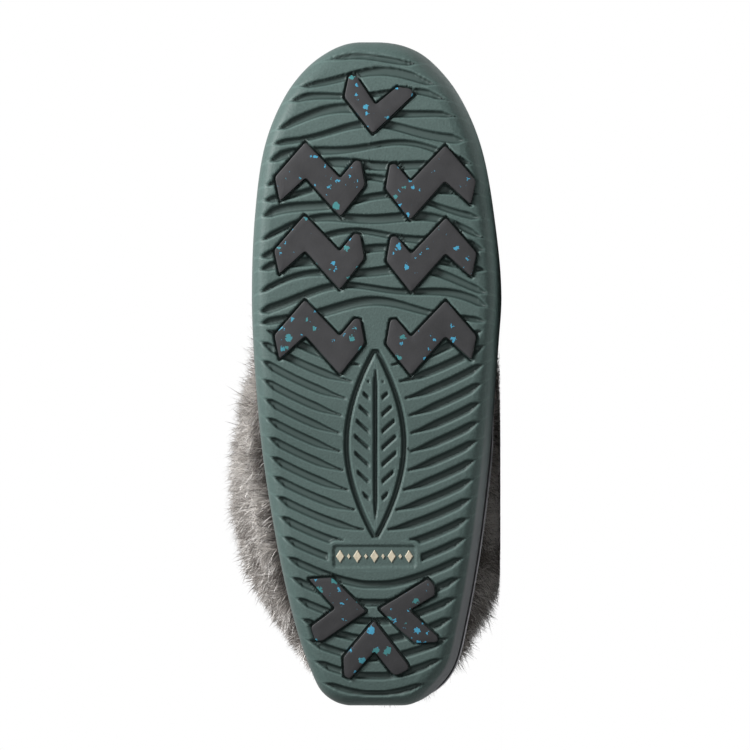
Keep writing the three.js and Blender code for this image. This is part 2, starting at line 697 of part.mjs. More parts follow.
// The fur: a sleeve on the upper whose outside steps out in tiers. Each tier's lower edge is a row of lock
// tips that stand out and hang over the tier below, one row staggered against the next.
function fur() {
  const steps = LOCKS_ROUND * 2;
  const plain = (share, depth) => upperRing(steps, furLevel(share), (way) => depth * furDepth(way));
  const rings = [upperRing(steps, furLevel(0), -WALL), plain(0, FUR_SKIN * RIM_SHARE.low)];
  for (let tier = 0; tier < FUR_TIERS; tier += 1) {
    rings.push(lockRing(tier));
    rings.push(plain((tier + TIER_SHARE) / FUR_TIERS, FUR_SKIN));
  }
  rings.push(plain(1, FUR_SKIN * RIM_SHARE.high));
  return solidFrom(skin(rings, false)).subtract(upperForm());
}

// The floor in the boot's own frame: its upward direction, and how far the sole's lowest edge lies along it.
const floorUp = new THREE.Vector3(Math.cos(LEAN), 0, Math.sin(LEAN));
function lowestAlong(solid) {
  const { vertProperties } = solid.getMesh();
  let lowest = Infinity;
  for (let i = 0; i < vertProperties.length; i += 3) {
    lowest = Math.min(lowest, floorUp.x * vertProperties[i] + floorUp.z * vertProperties[i + 2]);
  }
  return lowest;
}
function underFloor(level) {
  const size = 2 * SOLE_LENGTH;
  const side = new THREE.Vector3(0, 1, 0);
  const turned = new THREE.Matrix4().makeBasis(side.clone().cross(floorUp), side, floorUp);
  const block = new THREE.BoxGeometry(size, size, size).applyMatrix4(turned);
  const centre = floorUp.clone().multiplyScalar(level - size / 2);
  return solidFrom(block.translate(centre.x, centre.y + SOLE_LENGTH / 2, centre.z));
}

const lying = new THREE.Group();
const outsoleSolid = outsole();
const floorLevel = lowestAlong(outsoleSolid);
lying.add(meshFrom(outsoleSolid, "outsole", green));
lugs.forEach(({ name, corners }) => {
  lying.add(meshFrom(plate(corners, 0, LAND_HEIGHT + POCKET_DEPTH - GAP), name, black));
});
lying.add(meshFrom(midsole(), "midsole", darkGrey));
lying.add(meshFrom(upper(), "upper", suede));
lying.add(meshFrom(insole(), "insole", felt));
lying.add(meshFrom(collar(), "collar", suede));
lying.add(meshFrom(fur().subtract(underFloor(floorLevel)), "fur", furGrey));

// The boot lies on its outer side: toe to +X, shaft to +Y, inner side up, leaning back so that the fur rests
// on the floor with the sole's edge.
const toRow = new THREE.Matrix4().makeBasis(
  new THREE.Vector3(0, -Math.sin(LEAN), Math.cos(LEAN)),
  new THREE.Vector3(1, 0, 0),
  new THREE.Vector3(0, Math.cos(LEAN), Math.sin(LEAN)),
);
lying.setRotationFromMatrix(toRow);
lying.updateMatrixWorld(true);
const reach = new THREE.Box3().setFromObject(lying, true);
const middle = reach.getCenter(new THREE.Vector3());
lying.position.set(-middle.x, -middle.y, -reach.min.z);

const boot = new THREE.Group();
boot.add(lying);
export default boot;
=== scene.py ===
"""A mukluk boot for the left foot, lying on its outer side with its tread towards the camera.

The boot is worked out standing, in its own frame in millimetres: X towards the foot's inner side, Y from the
heel's end to the toe, Z up from the tread. laid_down() turns such points into the frame's metres.
"""
import math

import bpy
import numpy as np
from mathutils import Matrix, Vector
from mathutils.geometry import delaunay_2d_cdt


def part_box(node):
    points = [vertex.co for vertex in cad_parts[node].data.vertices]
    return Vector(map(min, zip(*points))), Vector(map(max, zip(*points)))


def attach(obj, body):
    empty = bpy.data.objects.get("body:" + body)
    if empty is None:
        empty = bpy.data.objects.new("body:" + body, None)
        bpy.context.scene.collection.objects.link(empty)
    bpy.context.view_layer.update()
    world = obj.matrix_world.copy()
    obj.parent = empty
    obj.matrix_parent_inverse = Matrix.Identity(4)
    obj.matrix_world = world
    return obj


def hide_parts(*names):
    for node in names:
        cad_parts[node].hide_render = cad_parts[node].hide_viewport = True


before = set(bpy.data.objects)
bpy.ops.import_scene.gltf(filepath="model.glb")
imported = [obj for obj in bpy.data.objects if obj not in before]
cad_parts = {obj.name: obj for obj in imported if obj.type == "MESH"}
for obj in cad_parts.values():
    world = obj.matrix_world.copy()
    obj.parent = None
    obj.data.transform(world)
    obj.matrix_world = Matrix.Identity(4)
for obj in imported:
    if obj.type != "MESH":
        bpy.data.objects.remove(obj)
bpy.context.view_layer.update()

bl_info = {
    "name": "Mukluk boot",
    "version": (1, 0, 0),
    "blender": (4, 5, 0),
    "location": "3D View > Sidebar > Boot",
    "description": "Builds a fur mukluk boot with a lugged rubber sole around its fixed frame",
    "category": "Object",
}


def table(columns, rows):
    """A table's rows as dicts by the names of its columns."""
    return [dict(zip(columns.split(), row)) for row in rows]


# Driving sizes of the boot
SOLE_LENGTH = 278.0
BALL_WIDTH = 104.4
INSTEP_HEIGHT = 77.5
COLLAR_HEIGHT = 225.0
WALL = 2.5
GAP = 0.3
LEAN = math.radians(2.2)

# Outsole
LAND_HEIGHT = 1.2
OUTSOLE_TOP = 17.0
OUTER_FLARE = 3.3
TOE_SPRING = 9.0
SPRING_START = 222.0
HEEL_BEVEL = 1.6
HEEL_BEVEL_LENGTH = 16.0
ARCH_RISE = 2.0
ARCH_FROM = 60.0
ARCH_TO = 132.0
TREAD_CENTRE = 0.2
POCKET_DEPTH = 3.0
POCKET_MARGIN = 1.0
LUG_TOP = LAND_HEIGHT + POCKET_DEPTH - GAP
POCKET_WALL = 0.4
PLATE = {"length": 35.0, "width": 9.6, "y": 62.6, "x": 0.6, "depth": 0.8, "corner": 1.5, "wall": 0.5}

# Layers over the outsole
MIDSOLE_THICKNESS = 4.0
MIDSOLE_INSET = 1.6
MIDSOLE_ROUND = 0.8
# On the outer side the midsole stands out as a ledge behind the ball of the foot.
LEDGE = {"out": 3.0, "full": 100.0, "end": 150.0}
FEATHER_HEIGHT = OUTSOLE_TOP + GAP + MIDSOLE_THICKNESS + GAP
INSOLE_THICKNESS = 4.0
COLLAR_LEVEL = 11
# About how far it is round the boot, which scales patterns that go by the turn
GIRTH = 430.0

# The sole's outline: shares of the length, and of half the ball width on both sides of its own middle line
OUTLINE_CENTRE = -0.6
OUTLINE = table("along inner outer", (
    (0, 0.209, 0.186), (0.02, 0.437, 0.458), (0.054, 0.53, 0.606), (0.131, 0.666, 0.715),
    (0.25, 0.806, 0.825), (0.392, 0.923, 0.913), (0.544, 0.988, 0.977), (0.617, 1, 1),
    (0.737, 0.975, 0.942), (0.842, 0.896, 0.837), (0.9165, 0.738, 0.671), (0.958, 0.575, 0.512),
    (0.987, 0.375, 0.32), (1, 0.13, -0.011),
))
# Where the outer side's flare sets in and is full, as how much a side faces outward
FLARE_FACING = {"from": 0.15, "full": 0.8}
# The outsole's edge from the flat tread up over the rolled edge and the side wall to the lip
SOLE_EDGE = table("inset height", (
    (6.2, LAND_HEIGHT), (3.6, 1.9), (1.5, 3.9), (0.2, 6.8), (0.0, 15.6), (1.2, OUTSOLE_TOP),
))

# Sections of the upper from the feather line to the collar, each a slice from a point on the back to one on
# the front, as shares of the sole's length. A rise of 0 to 1 is a share of the instep's height, and 1 to 2
# goes on from there to the collar. last is how much the sole's outline, scaled by width, has in the section.
# The rest is an oval, heel and fore wide in shares of the ball width; full is its fullness, and outer scales
# its outer side.
SECTION_ROWS = table("level back backRise front frontRise width last heel fore full outer", (
    (0, 0.0131, 0.279, 0.9851, 0.279, 0.95, 1, 0.345, 0.479, 0.7, 1),
    (1, 0.0051, 0.413, 0.9909, 0.413, 0.982, 1, 0.364, 0.479, 0.72, 1),
    (2, 0.0029, 0.542, 0.98, 0.542, 0.955, 0.95, 0.364, 0.469, 0.74, 1),
    (3, 0.0029, 0.671, 0.9401, 0.652, 0.9, 0.6, 0.364, 0.441, 0.76, 1),
    (4, 0.0051, 0.8, 0.8748, 0.742, 0.84, 0.25, 0.374, 0.412, 0.8, 1),
    (5, 0.0094, 0.942, 0.7985, 0.852, 0.8, 0, 0.393, 0.398, 0.84, 0.99),
    (6, 0.0174, 1.058, 0.7223, 1, 0.8, 0, 0.421, 0.407, 0.87, 0.98),
    (7, 0.0269, 1.159, 0.6606, 1.102, 0.8, 0, 0.455, 0.436, 0.89, 0.97),
    (8, 0.0348, 1.275, 0.6171, 1.234, 0.8, 0, 0.489, 0.474, 0.9, 0.96),
    (9, 0.0399, 1.431, 0.5898, 1.41, 0.8, 0, 0.517, 0.508, 0.9, 0.95),
    (10, 0.0436, 1.668, 0.5753, 1.661, 0.8, 0, 0.532, 0.527, 0.9, 0.945),
    (11, 0.0436, 2, 0.5735, 2, 0.8, 0, 0.536, 0.536, 0.9, 0.94),
))
# Over which shares of the way forward the heel's width gives way to the fore one
WIDTH_TURN = {"from": 0.15, "to": 0.75}

# The moccasin seam: its level at the toe, how far it rises under the fur, where along the foot it starts
SEAM = {"toe": 2.65, "rise": 3.85, "start": 0.55, "power": 1.6, "reach": 0.3, "height": 2.2}
# The height of the fur's lower edge at the back and at the front, as heights go on the back of the boot
FUR_EDGE = {"back": 68.0, "front": 98.0}
# What share of the fur's depth is left behind the heel, and up to which way round it grows to the full depth
FUR_BACK = {"share": 0.7, "reach": 0.4}

# Tread: ripples over the forefoot, and veins that leave a leaf in the middle of the foot and cross the heel
RIPPLES = {"first": 271.0, "spacing": 7.4, "count": 15, "bow": 8.0, "reach": 45.0}
RIPPLE_WAVE = {"height": 1.5, "length": 52.0, "turn": 1.9}
RIPPLE_SWELL = {"share": 0.22, "length": 17.0, "turn": 2.3}
VEINS = {"first": 66.0, "spacing": 7.6, "low": -8, "high": 10, "start": 3.4, "reach": 52.0, "sweep": 20.0}
VEINS_END = 157.0
LEAF = {"from": 70.0, "to": 149.0, "half": 12.0, "full": 0.9, "clear": 2.6}
LEAF_VEINS = {"rib": 1.15, "spacing": 7.0, "rise": 0.9, "half": 0.95, "from_rib": 1.3, "from_edge": 3.0}
# How near a groove comes to a lug's pocket, which it runs into, and to the plate
LUG_COLLAR = -0.4
PLATE_COLLAR = 1.6

# The zigzag lug, from its peak: towards the middle of the sole and back towards the heel
ZIGZAG = [
    (0, 0), (14.5, 15.2), (20.7, 7.7), (23, 8), (24.8, 18), (14.6, 31), (0.2, 14.8), (-10.6, 24.6),
    (-12.7, 14.7),
]
# The peaks of the zigzag lugs on the inner and the outer side of the sole
ZIGZAG_ROWS = table("peak inner outer", (
    (29.1, 235, 233.6), (29.4, 204.6, 203.5), (29.3, 169.3, 169),
))
TOE_LUG = [
    (11.2, 263.3), (13.1, 254), (1.3, 238.6), (-15.8, 255), (-14.4, 257.5), (-8.9, 258.3), (0.2, 250.6),
    (8.5, 263.1),
]
HEEL_LUG_INNER = [(27.9, 53.2), (16.8, 41), (27.1, 33.3), (25.2, 27.5), (22.3, 27.5), (4, 39.9), (18.1, 53.7)]
HEEL_LUG_OUTER = [
    (-1.5, 40.8), (-10.5, 31.6), (-16.3, 26.6), (-25.4, 27), (-25.9, 29.1), (-13.9, 40.2), (-24.6, 46.6),
    (-24.3, 50.8), (-21.7, 53.2),
]
HEEL_LUG_CENTRE = [
    (0.7, 35.8), (13.5, 20.6), (13.1, 12.9), (11, 11.6), (0.6, 23.3), (-6.9, 13.7), (-8.9, 13.3),
    (-13.7, 15.8), (-13.1, 17.9),
]

# The deepest that creases press into the wall where they cross, and what all their depths are scaled by
DEEPEST_CREASE = 1.6
CREASE_STRENGTH = 1.15
# Creases of the suede: turn goes round the boot, 0 at the back, a quarter on the inner side and a half at the
# front; angle is from level, in degrees; depth is a trough's, and half as much stands up beside it.
CREASES = table("turn height angle length width depth", (
    (0.47, 84, 12, 26, 3.4, 1.5), (0.54, 77, -14, 24, 3.0, 1.3),
    (0.43, 71, 24, 20, 3.0, 1.1), (0.58, 69, -22, 20, 2.8, 1.0),
    (0.36, 62, 38, 26, 3.6, 1.3), (0.645, 60, -36, 26, 3.6, 1.3),
    (0.33, 44, 60, 18, 3.2, 0.9), (0.67, 45, -58, 18, 3.2, 0.9),
    (0.03, 58, 6, 22, 2.6, 0.8), (0.965, 49, -8, 20, 2.6, 0.7),
    (0.2, 52, -32, 24, 4.0, 1.0), (0.8, 53, 30, 24, 4.0, 1.0),
))


# Number helpers
def smoothstep(value, low, high):
    """0 below low, 1 above high, and a smooth cubic step between."""
    share = np.clip((value - low) / (high - low), 0, 1)
    return share * share * (3 - 2 * share)


def lerp(a, b, share):
    """The place at a share of the way from a to b: a + (b - a) * share."""
    return a + (b - a) * share


def turns(count):
    """Places evenly round the boot, from 0 at the back."""
    return np.arange(count) / count


def unit(vectors):
    """Vectors divided by their own lengths."""
    return vectors / np.maximum(np.linalg.norm(vectors, axis=-1, keepdims=True), 1e-12)


def column(rows, at, name):
    """A table's column at any place along another: cubic pieces, each row's slope from its neighbours."""
    places = np.array([row[at] for row in rows], float)
    values = np.array([row[name] for row in rows], float)
    last = len(rows) - 1

    def value(place):
        t = np.clip(place, places[0], places[-1])
        after = np.clip(np.searchsorted(places, t, side="right"), 1, last)
        before = after - 1
        far_before = np.where(before > 0, before - 1, after)
        far_after = np.where(after < last, after + 1, before)
        t0, t1 = places[before], places[after]
        half = (t1 - t0) / 2
        pull_before = half / (t0 - places[far_before])
        pull_after = half / (places[far_after] - t1)
        p = (t - t0) / (t1 - t0)
        square, cube = p * p, p * p * p
        return (
            values[far_before] * pull_before * (2 * square - cube - p)
            + values[before] * ((1 + pull_before) * cube - (1.5 + 2 * pull_before) * square)
            + values[before] * ((pull_before - 0.5) * p + 1)
            + values[after] * ((1.5 + pull_after) * square - (1 + pull_after) * cube + 0.5 * p)
            + values[far_after] * pull_after * (cube - square)
        )

    return value


def waves(u, v, seed, size, count=6):
    """Smooth noise within about 1: a sum of sine waves of about one size in directions from the seed."""
    rng = np.random.default_rng(seed)
    angle = rng.uniform(0, math.pi, count)
    scale = 2 * math.pi / size * rng.uniform(0.6, 1.5, count)
    phase = rng.uniform(0, 2 * math.pi, count)
    total = sum(
        np.sin((u * math.cos(a) + v * math.sin(a)) * s + p) for a, s, p in zip(angle, scale, phase)
    )
    return total / math.sqrt(count)


# The boot's place in the frame
def boot_origin():
    """The boot's own origin in the frame, from the outsole's heel end and the third inner lug."""
    heel_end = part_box("outsole")[0].x * 1000
    low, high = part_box("lug_inner_3")
    reach = TREAD_CENTRE + ZIGZAG_ROWS[2]["peak"] - min(inward for inward, _ in ZIGZAG)
    across = low.y * 1000 + reach * math.sin(LEAN)
    up = high.z * 1000 - reach * math.cos(LEAN) - LUG_TOP * math.sin(LEAN)
    return np.array([heel_end, across, up])


BOOT_ORIGIN = boot_origin()
# Rows: where the boot's X, Y and Z point in the frame
BOOT_AXES = np.array(
    [[0, -math.sin(LEAN), math.cos(LEAN)], [1, 0, 0], [0, math.cos(LEAN), math.sin(LEAN)]]
)


def laid_down(points):
    """Boot points in millimetres as frame points in metres."""
    return (points @ BOOT_AXES + BOOT_ORIGIN) / 1000


# Meshes
def link(thing):
    """Puts an object into the scene."""
    bpy.context.scene.collection.objects.link(thing)


def make_piece(name, points, faces, material, smooth=True):
    """A mesh object from points in metres and a list of arrays of faces with equal counts of corners."""
    mesh = bpy.data.meshes.new(name)
    flat = np.concatenate([part.ravel() for part in faces])
    sizes = np.concatenate([np.full(len(part), part.shape[1]) for part in faces])
    mesh.vertices.add(len(points))
    mesh.vertices.foreach_set("co", np.asarray(points, np.float32).ravel())
    mesh.loops.add(len(flat))
    mesh.loops.foreach_set("vertex_index", flat.astype(np.int32))
    mesh.polygons.add(len(sizes))
    mesh.polygons.foreach_set("loop_start", np.concatenate([[0], np.cumsum(sizes)[:-1]]).astype(np.int32))
    mesh.polygons.foreach_set("use_smooth", np.full(len(sizes), smooth))
    mesh.update(calc_edges=True)
    mesh.validate()
    mesh.materials.append(material)
    piece = bpy.data.objects.new(name, mesh)
    link(piece)
    return piece


def boot_piece(name, points, faces, material, slot, *nodes, smooth=True):
    """A piece that rides on the boot and stands for its nodes, which it hides. The slot is not used."""
    piece = make_piece(name, points, faces, material, smooth)
    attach(piece, "root")
    if nodes:
        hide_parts(*nodes)
    return piece


def add_attribute(piece, name, values):
    """A number at each point of a piece, which its material reads by name."""
    attribute = piece.data.attributes.new(name, "FLOAT", "POINT")
    attribute.data.foreach_set("value", np.asarray(values, np.float32).ravel())


def ring_faces(index):
    """Quads between stacked rings, given as a grid of point numbers; each ring closes on itself."""
    after = np.roll(index, -1, axis=1)
    quads = np.stack([index[:-1], after[:-1], after[1:], index[1:]], axis=-1)
    return quads.reshape(-1, 4)


def closed_rings(rings, ends=True):
    """Points and faces of a skin over rings of equal count, which is capped at both ends, or without ends
    closes from the last ring to the first."""
    rings = np.asarray(rings)
    index = np.arange(rings.size // 3).reshape(rings.shape[:2])
    points = rings.reshape(-1, 3)
    if not ends:
        return points, [ring_faces(np.vstack([index, index[:1]]))]
    return points, [ring_faces(index), index[:1, ::-1], index[-1:]]


def ring_piece(name, rings, material, slot, *nodes, ends=True):
    """A piece of the boot from its rings, which are in the boot's own millimetres."""
    points, faces = closed_rings(rings, ends)
    return boot_piece(name, laid_down(points), faces, material, slot, *nodes)


def summed(steps):
    """How far along a path each of its points is, from the steps between them."""
    return np.concatenate([[0], np.cumsum(steps)])


def outward(ring, reach):
    """The directions out of a flat outline, across the line between neighbours a reach of points apart."""
    along = np.roll(ring, -reach, axis=0) - np.roll(ring, reach, axis=0)
    return unit(np.stack([along[:, 1], -along[:, 0]], axis=-1))


# The sole's outline and rings
def spring(y):
    """The toe's rise: the square of the way past where it starts."""
    return TOE_SPRING * (np.maximum(0, y - SPRING_START) / (SOLE_LENGTH - SPRING_START)) ** 2


def tread_rise(y):
    """The tread's rise off the floor: a squared sine under the arch, and a squared bevel at the heel."""
    along = np.clip((y - ARCH_FROM) / (ARCH_TO - ARCH_FROM), 0, 1)
    bevel = np.maximum(0, HEEL_BEVEL_LENGTH - y) / HEEL_BEVEL_LENGTH
    return ARCH_RISE * np.sin(math.pi * along) ** 2 + HEEL_BEVEL * bevel**2


def bent(y, height):
    """A height over the flat tread, where the sole bends."""
    share = np.clip(1 - height / OUTSOLE_TOP, 0, 1)
    return height + spring(y) + tread_rise(y) * share


STATIONS = [{**row, "way": math.acos(1 - 2 * row["along"]) / math.pi} for row in OUTLINE]
inner_share = column(STATIONS, "way", "inner")
outer_share = column(STATIONS, "way", "outer")


def along_share(way):
    """How far along the sole a way is: half of 1 less the cosine of the way's half turn."""
    return (1 - np.cos(math.pi * way)) / 2


def outline_x(way, side):
    """Half the ball width times the side's share; at the two ends the middle between both sides."""
    half = BALL_WIDTH / 2
    inner, outer = half * inner_share(way), -half * outer_share(way)
    at_end = (way <= 0) | (way >= 1)
    return OUTLINE_CENTRE + np.where(at_end, (inner + outer) / 2, np.where(side > 0, inner, outer))


def outline_ring(count):
    """The outline as points count to a side, evenly spaced, with the directions out of it."""
    way = np.concatenate([[0], np.linspace(1e-6, 1 - 1e-6, 3000), [1]])
    sides = []
    for side in (1, -1):
        x, y = outline_x(way, side), SOLE_LENGTH * along_share(way)
        reach = summed(np.hypot(np.diff(x), np.diff(y)))
        even = np.linspace(0, reach[-1], count + 1)
        sides.append(np.stack([np.interp(even, reach, x), np.interp(even, reach, y)], axis=-1))
    ring = np.concatenate([sides[0], sides[1][-2:0:-1]])
    return ring, outward(ring, 3)


def sole_ring(ring, out, inset, height, flare=0.0):
    """The outline moved in by an inset, and by a flare on its outer side, at a height over the tread."""
    outer = smoothstep(-out[:, 0], FLARE_FACING["from"], FLARE_FACING["full"])
    moved = ring - out * (inset + flare * outer)[:, None]
    return np.column_stack([moved, bent(moved[:, 1], height)])


EDGE_REACH = summed([
    math.hypot(b["inset"] - a["inset"], b["height"] - a["height"]) for a, b in zip(SOLE_EDGE, SOLE_EDGE[1:])
])
EDGE_ROWS = [{**row, "reach": reach} for row, reach in zip(SOLE_EDGE, EDGE_REACH)]
edge_inset = column(EDGE_ROWS, "reach", "inset")
edge_height = column(EDGE_ROWS, "reach", "height")


def facing_outer(out):
    """How much a side faces outward: 0 to the inner side, 1 to the outer one."""
    return smoothstep(-out[:, 0], 0.2, 0.8)


def edge_flare(height):
    """The outer side's flare: full at the tread, in a straight line to none at the wall's top."""
    top = SOLE_EDGE[-2]["height"]
    return OUTER_FLARE * np.maximum(0, 1 - (height - LAND_HEIGHT) / (top - LAND_HEIGHT))


# The tread's pattern, as signed distances in millimetres that are below 0 inside a groove
def polygon_distance(x, y, corners):
    """The distance to an outline's nearest side, below 0 where a ray crosses its sides an odd number of
    times."""
    best = np.full(x.shape, np.inf)
    inside = np.zeros(x.shape, bool)
    for a, b in zip(corners, np.roll(corners, -1, axis=0)):
        edge = b - a
        along = np.clip(((x - a[0]) * edge[0] + (y - a[1]) * edge[1]) / (edge @ edge), 0, 1)
        best = np.minimum(best, (x - a[0] - along * edge[0]) ** 2 + (y - a[1] - along * edge[1]) ** 2)
        if a[1] != b[1]:
            inside ^= ((a[1] > y) != (b[1] > y)) & (x < edge[0] * (y - a[1]) / edge[1] + a[0])
    return np.where(inside, -np.sqrt(best), np.sqrt(best))


def lug_outlines():
    """Every lug's name and corners."""
    lugs = {"lug_toe": TOE_LUG}
    for row, sizes in enumerate(ZIGZAG_ROWS):
        for side, name in ((1, "inner"), (-1, "outer")):
            lugs[f"lug_{name}_{row + 1}"] = [
                (TREAD_CENTRE + side * (sizes["peak"] - inward), sizes[name] - back)
                for inward, back in ZIGZAG
            ]
    lugs["lug_heel_inner"] = HEEL_LUG_INNER
    lugs["lug_heel_outer"] = HEEL_LUG_OUTER
    lugs["lug_heel_centre"] = HEEL_LUG_CENTRE
    return {name: np.array(corners, float) for name, corners in lugs.items()}


def lug_distance(x, y):
    """The distance to the nearest lug's outline."""
    return np.min([polygon_distance(x, y, corners) for corners in lug_outlines().values()], axis=0)


def pocket_distance(x, y):
    """The distance to the nearest pocket, which is a margin wider than its lug."""
    return lug_distance(x, y) - POCKET_MARGIN


def plate_distance(x, y):
    """The distance to the plate's rectangle, its corners rounded."""
    across = np.abs(x - PLATE["x"]) - PLATE["length"] / 2 + PLATE["corner"]
    along = np.abs(y - PLATE["y"]) - PLATE["width"] / 2 + PLATE["corner"]
    outside = np.hypot(np.maximum(across, 0), np.maximum(along, 0))
    return outside + np.minimum(np.maximum(across, along), 0) - PLATE["corner"]


def leaf_half(y):
    """Half the leaf's width: a sine over its length."""
    way = np.clip((y - LEAF["from"]) / (LEAF["to"] - LEAF["from"]), 0, 1)
    return LEAF["half"] * np.sin(math.pi * way) ** LEAF["full"]


def ripple_distance(x, y, width):
    """Lines a spacing apart that bow towards the toe, wave a little, and swell along their way."""
    bowed = y + RIPPLES["bow"] * (x / RIPPLES["reach"]) ** 2
    number = np.clip(np.rint((RIPPLES["first"] - bowed) / RIPPLES["spacing"]), 0, RIPPLES["count"] - 1)
    phase = 2 * math.pi * x / RIPPLE_WAVE["length"] + RIPPLE_WAVE["turn"] * number
    line = RIPPLES["first"] - RIPPLES["spacing"] * number + RIPPLE_WAVE["height"] * np.sin(phase)
    swell_phase = x / RIPPLE_SWELL["length"] + RIPPLE_SWELL["turn"] * number
    swell = 1 + RIPPLE_SWELL["share"] * np.sin(swell_phase)
    return np.abs(bowed - line) - width * swell / 2


def vein_distance(x, y, width):
    """Lines that leave the leaf thin, widen, and sweep forward by a power of the way to the sole's edge."""
    across = np.abs(x - TREAD_CENTRE)
    way = np.clip((across - VEINS["start"]) / (VEINS["reach"] - VEINS["start"]), 0, 1.2)
    swept = y - VEINS["sweep"] * way**1.5
    number = np.clip(np.rint((swept - VEINS["first"]) / VEINS["spacing"]), VEINS["low"], VEINS["high"])
    line = VEINS["first"] + VEINS["spacing"] * number
    slope = VEINS["sweep"] * 1.5 * np.sqrt(way) / (VEINS["reach"] - VEINS["start"])
    beside_leaf = number >= 0
    inner_end = np.where(beside_leaf, leaf_half(line) + LEAF["clear"], -1.0)
    swell = np.where(beside_leaf, 0.35 + 0.65 * smoothstep(across - inner_end, 0, 12), 0.95)
    distance = np.abs(swept - line) / np.sqrt(1 + slope**2) - width * swell / 2
    return np.maximum(np.maximum(distance, inner_end - across), y - VEINS_END)


def leaf_distance(x, y):
    """The leaf: a groove round it, one down its midrib and slanting ones between."""
    across = np.abs(x - TREAD_CENTRE)
    half = leaf_half(y)
    past_ends = np.maximum(LEAF["from"] - y, y - LEAF["to"])
    ring = np.maximum(np.abs(across - half) * 0.93 - 1.25, past_ends)
    rib = np.maximum(across - LEAF_VEINS["rib"] * smoothstep(-past_ends, 3, 16), past_ends + 3)
    slant = y - LEAF_VEINS["rise"] * across
    number = np.rint((slant - LEAF["from"]) / LEAF_VEINS["spacing"])
    beside = np.abs(slant - LEAF["from"] - LEAF_VEINS["spacing"] * number) / math.hypot(1, LEAF_VEINS["rise"])
    vein = np.maximum(beside - LEAF_VEINS["half"], LEAF_VEINS["rib"] + LEAF_VEINS["from_rib"] - across)
    vein = np.maximum(vein, np.maximum(across - half + LEAF_VEINS["from_edge"], past_ends + 7))
    return np.minimum(ring, np.minimum(rib, vein))


def groove_distance(x, y, inset, width):
    """All grooves: they thin out to points over the rolled edge, run into the lugs' pockets and keep a
    collar of land round the plate."""
    thin = smoothstep(inset, 1.3, 7.5)
    lines = np.minimum(ripple_distance(x, y, width * thin), vein_distance(x, y, width * thin))
    grooves = np.minimum(lines, leaf_distance(x, y))
    grooves = np.maximum(grooves, LUG_COLLAR + POCKET_MARGIN - lug_distance(x, y))
    return np.maximum(grooves, PLATE_COLLAR - plate_distance(x, y))


def snapped(x, y, distance, share):
    """Grid points near a line where distance is 0 moved onto it along the distance's slope, unless they
    miss it. Near is within a share of the grid's longer step across the line."""
    step = 0.05
    here = distance(x, y)
    slope_x = (distance(x + step, y) - here) / step
    slope_y = (distance(x, y + step) - here) / step
    square = slope_x**2 + slope_y**2
    steps = [slope_x * np.gradient(x, axis=axis) + slope_y * np.gradient(y, axis=axis) for axis in (0, 1)]
    near = share * np.max(np.abs(steps), axis=0)
    move = np.where((np.abs(here) < near) & (square > 0.5), here / np.maximum(square, 0.5), 0)
    moved_x, moved_y = x - move * slope_x, y - move * slope_y
    closer = np.abs(distance(moved_x, moved_y)) < 0.5 * np.abs(here)
    return np.where(closer, moved_x, x), np.where(closer, moved_y, y)


# Materials
class Shader:
    """A material's node tree with one Principled shader, and short ways to add nodes to it."""

    def __init__(self, name, colour, roughness, specular=0.35, **sockets):
        self.material = bpy.data.materials.new(name)
        self.material.use_nodes = True
        self.tree = self.material.node_tree
        self.surface = self.tree.nodes["Principled BSDF"]
        self.set(Base_Color=(*colour, 1), Roughness=roughness, Specular_IOR_Level=specular, **sockets)
        self.place = self.add("ShaderNodeTexCoord").outputs["Object"]

    def plug(self, socket, value):
        """A socket takes another's output, or a constant."""
        if isinstance(value, bpy.types.NodeSocket):
            self.tree.links.new(value, socket)
        else:
            socket.default_value = value

    def set(self, **sockets):
        for name, value in sockets.items():
            self.plug(self.surface.inputs[name.replace("_", " ")], value)
        return self.material

    def add(self, kind, inputs=(), **options):
        node = self.tree.nodes.new(kind)
        for name, value in options.items():
            setattr(node, name, value)
        for name, value in dict(inputs).items():
            self.plug(node.inputs[name], value)
        return node

    def noise(self, size, detail=3.0, roughness=0.6, place=None):
        """Noise whose features are about size metres."""
        inputs = {"Vector": place or self.place, "Scale": 1 / size, "Detail": detail, "Roughness": roughness}
        return self.add("ShaderNodeTexNoise", inputs).outputs["Fac"]

    def range(self, value, low, high, to_low=0.0, to_high=1.0):
        inputs = {"Value": value, "From Min": low, "From Max": high, "To Min": to_low, "To Max": to_high}
        return self.add("ShaderNodeMapRange", inputs).outputs["Result"]

    def math(self, operation, a, b=0.0):
        return self.add("ShaderNodeMath", {0: a, 1: b}, operation=operation).outputs[0]

    def mix(self, share, a, b):
        a, b = (colour if isinstance(colour, bpy.types.NodeSocket) else (*colour, 1) for colour in (a, b))
        return self.add("ShaderNodeMix", {0: share, 6: a, 7: b}, data_type="RGBA").outputs[2]

    def shades(self, value, low, high, colour, dark, light):
        """A colour darkened where a value is low and lightened where it is high, by two factors."""
        return self.mix(self.range(value, low, high), shade_of(colour, dark), shade_of(colour, light))

    def attribute(self, name):
        return self.add("ShaderNodeAttribute", attribute_name=name).outputs["Fac"]

    def bump(self, height, distance, strength=1.0, before=None):
        inputs = {"Height": height, "Distance": distance, "Strength": strength}
        if before is not None:
            inputs["Normal"] = before
        return self.add("ShaderNodeBump", inputs).outputs["Normal"]


def shade_of(colour, factor):
    """A colour's channels times a factor, and 1 at most."""
    return tuple(min(1.0, channel * factor) for channel in colour)


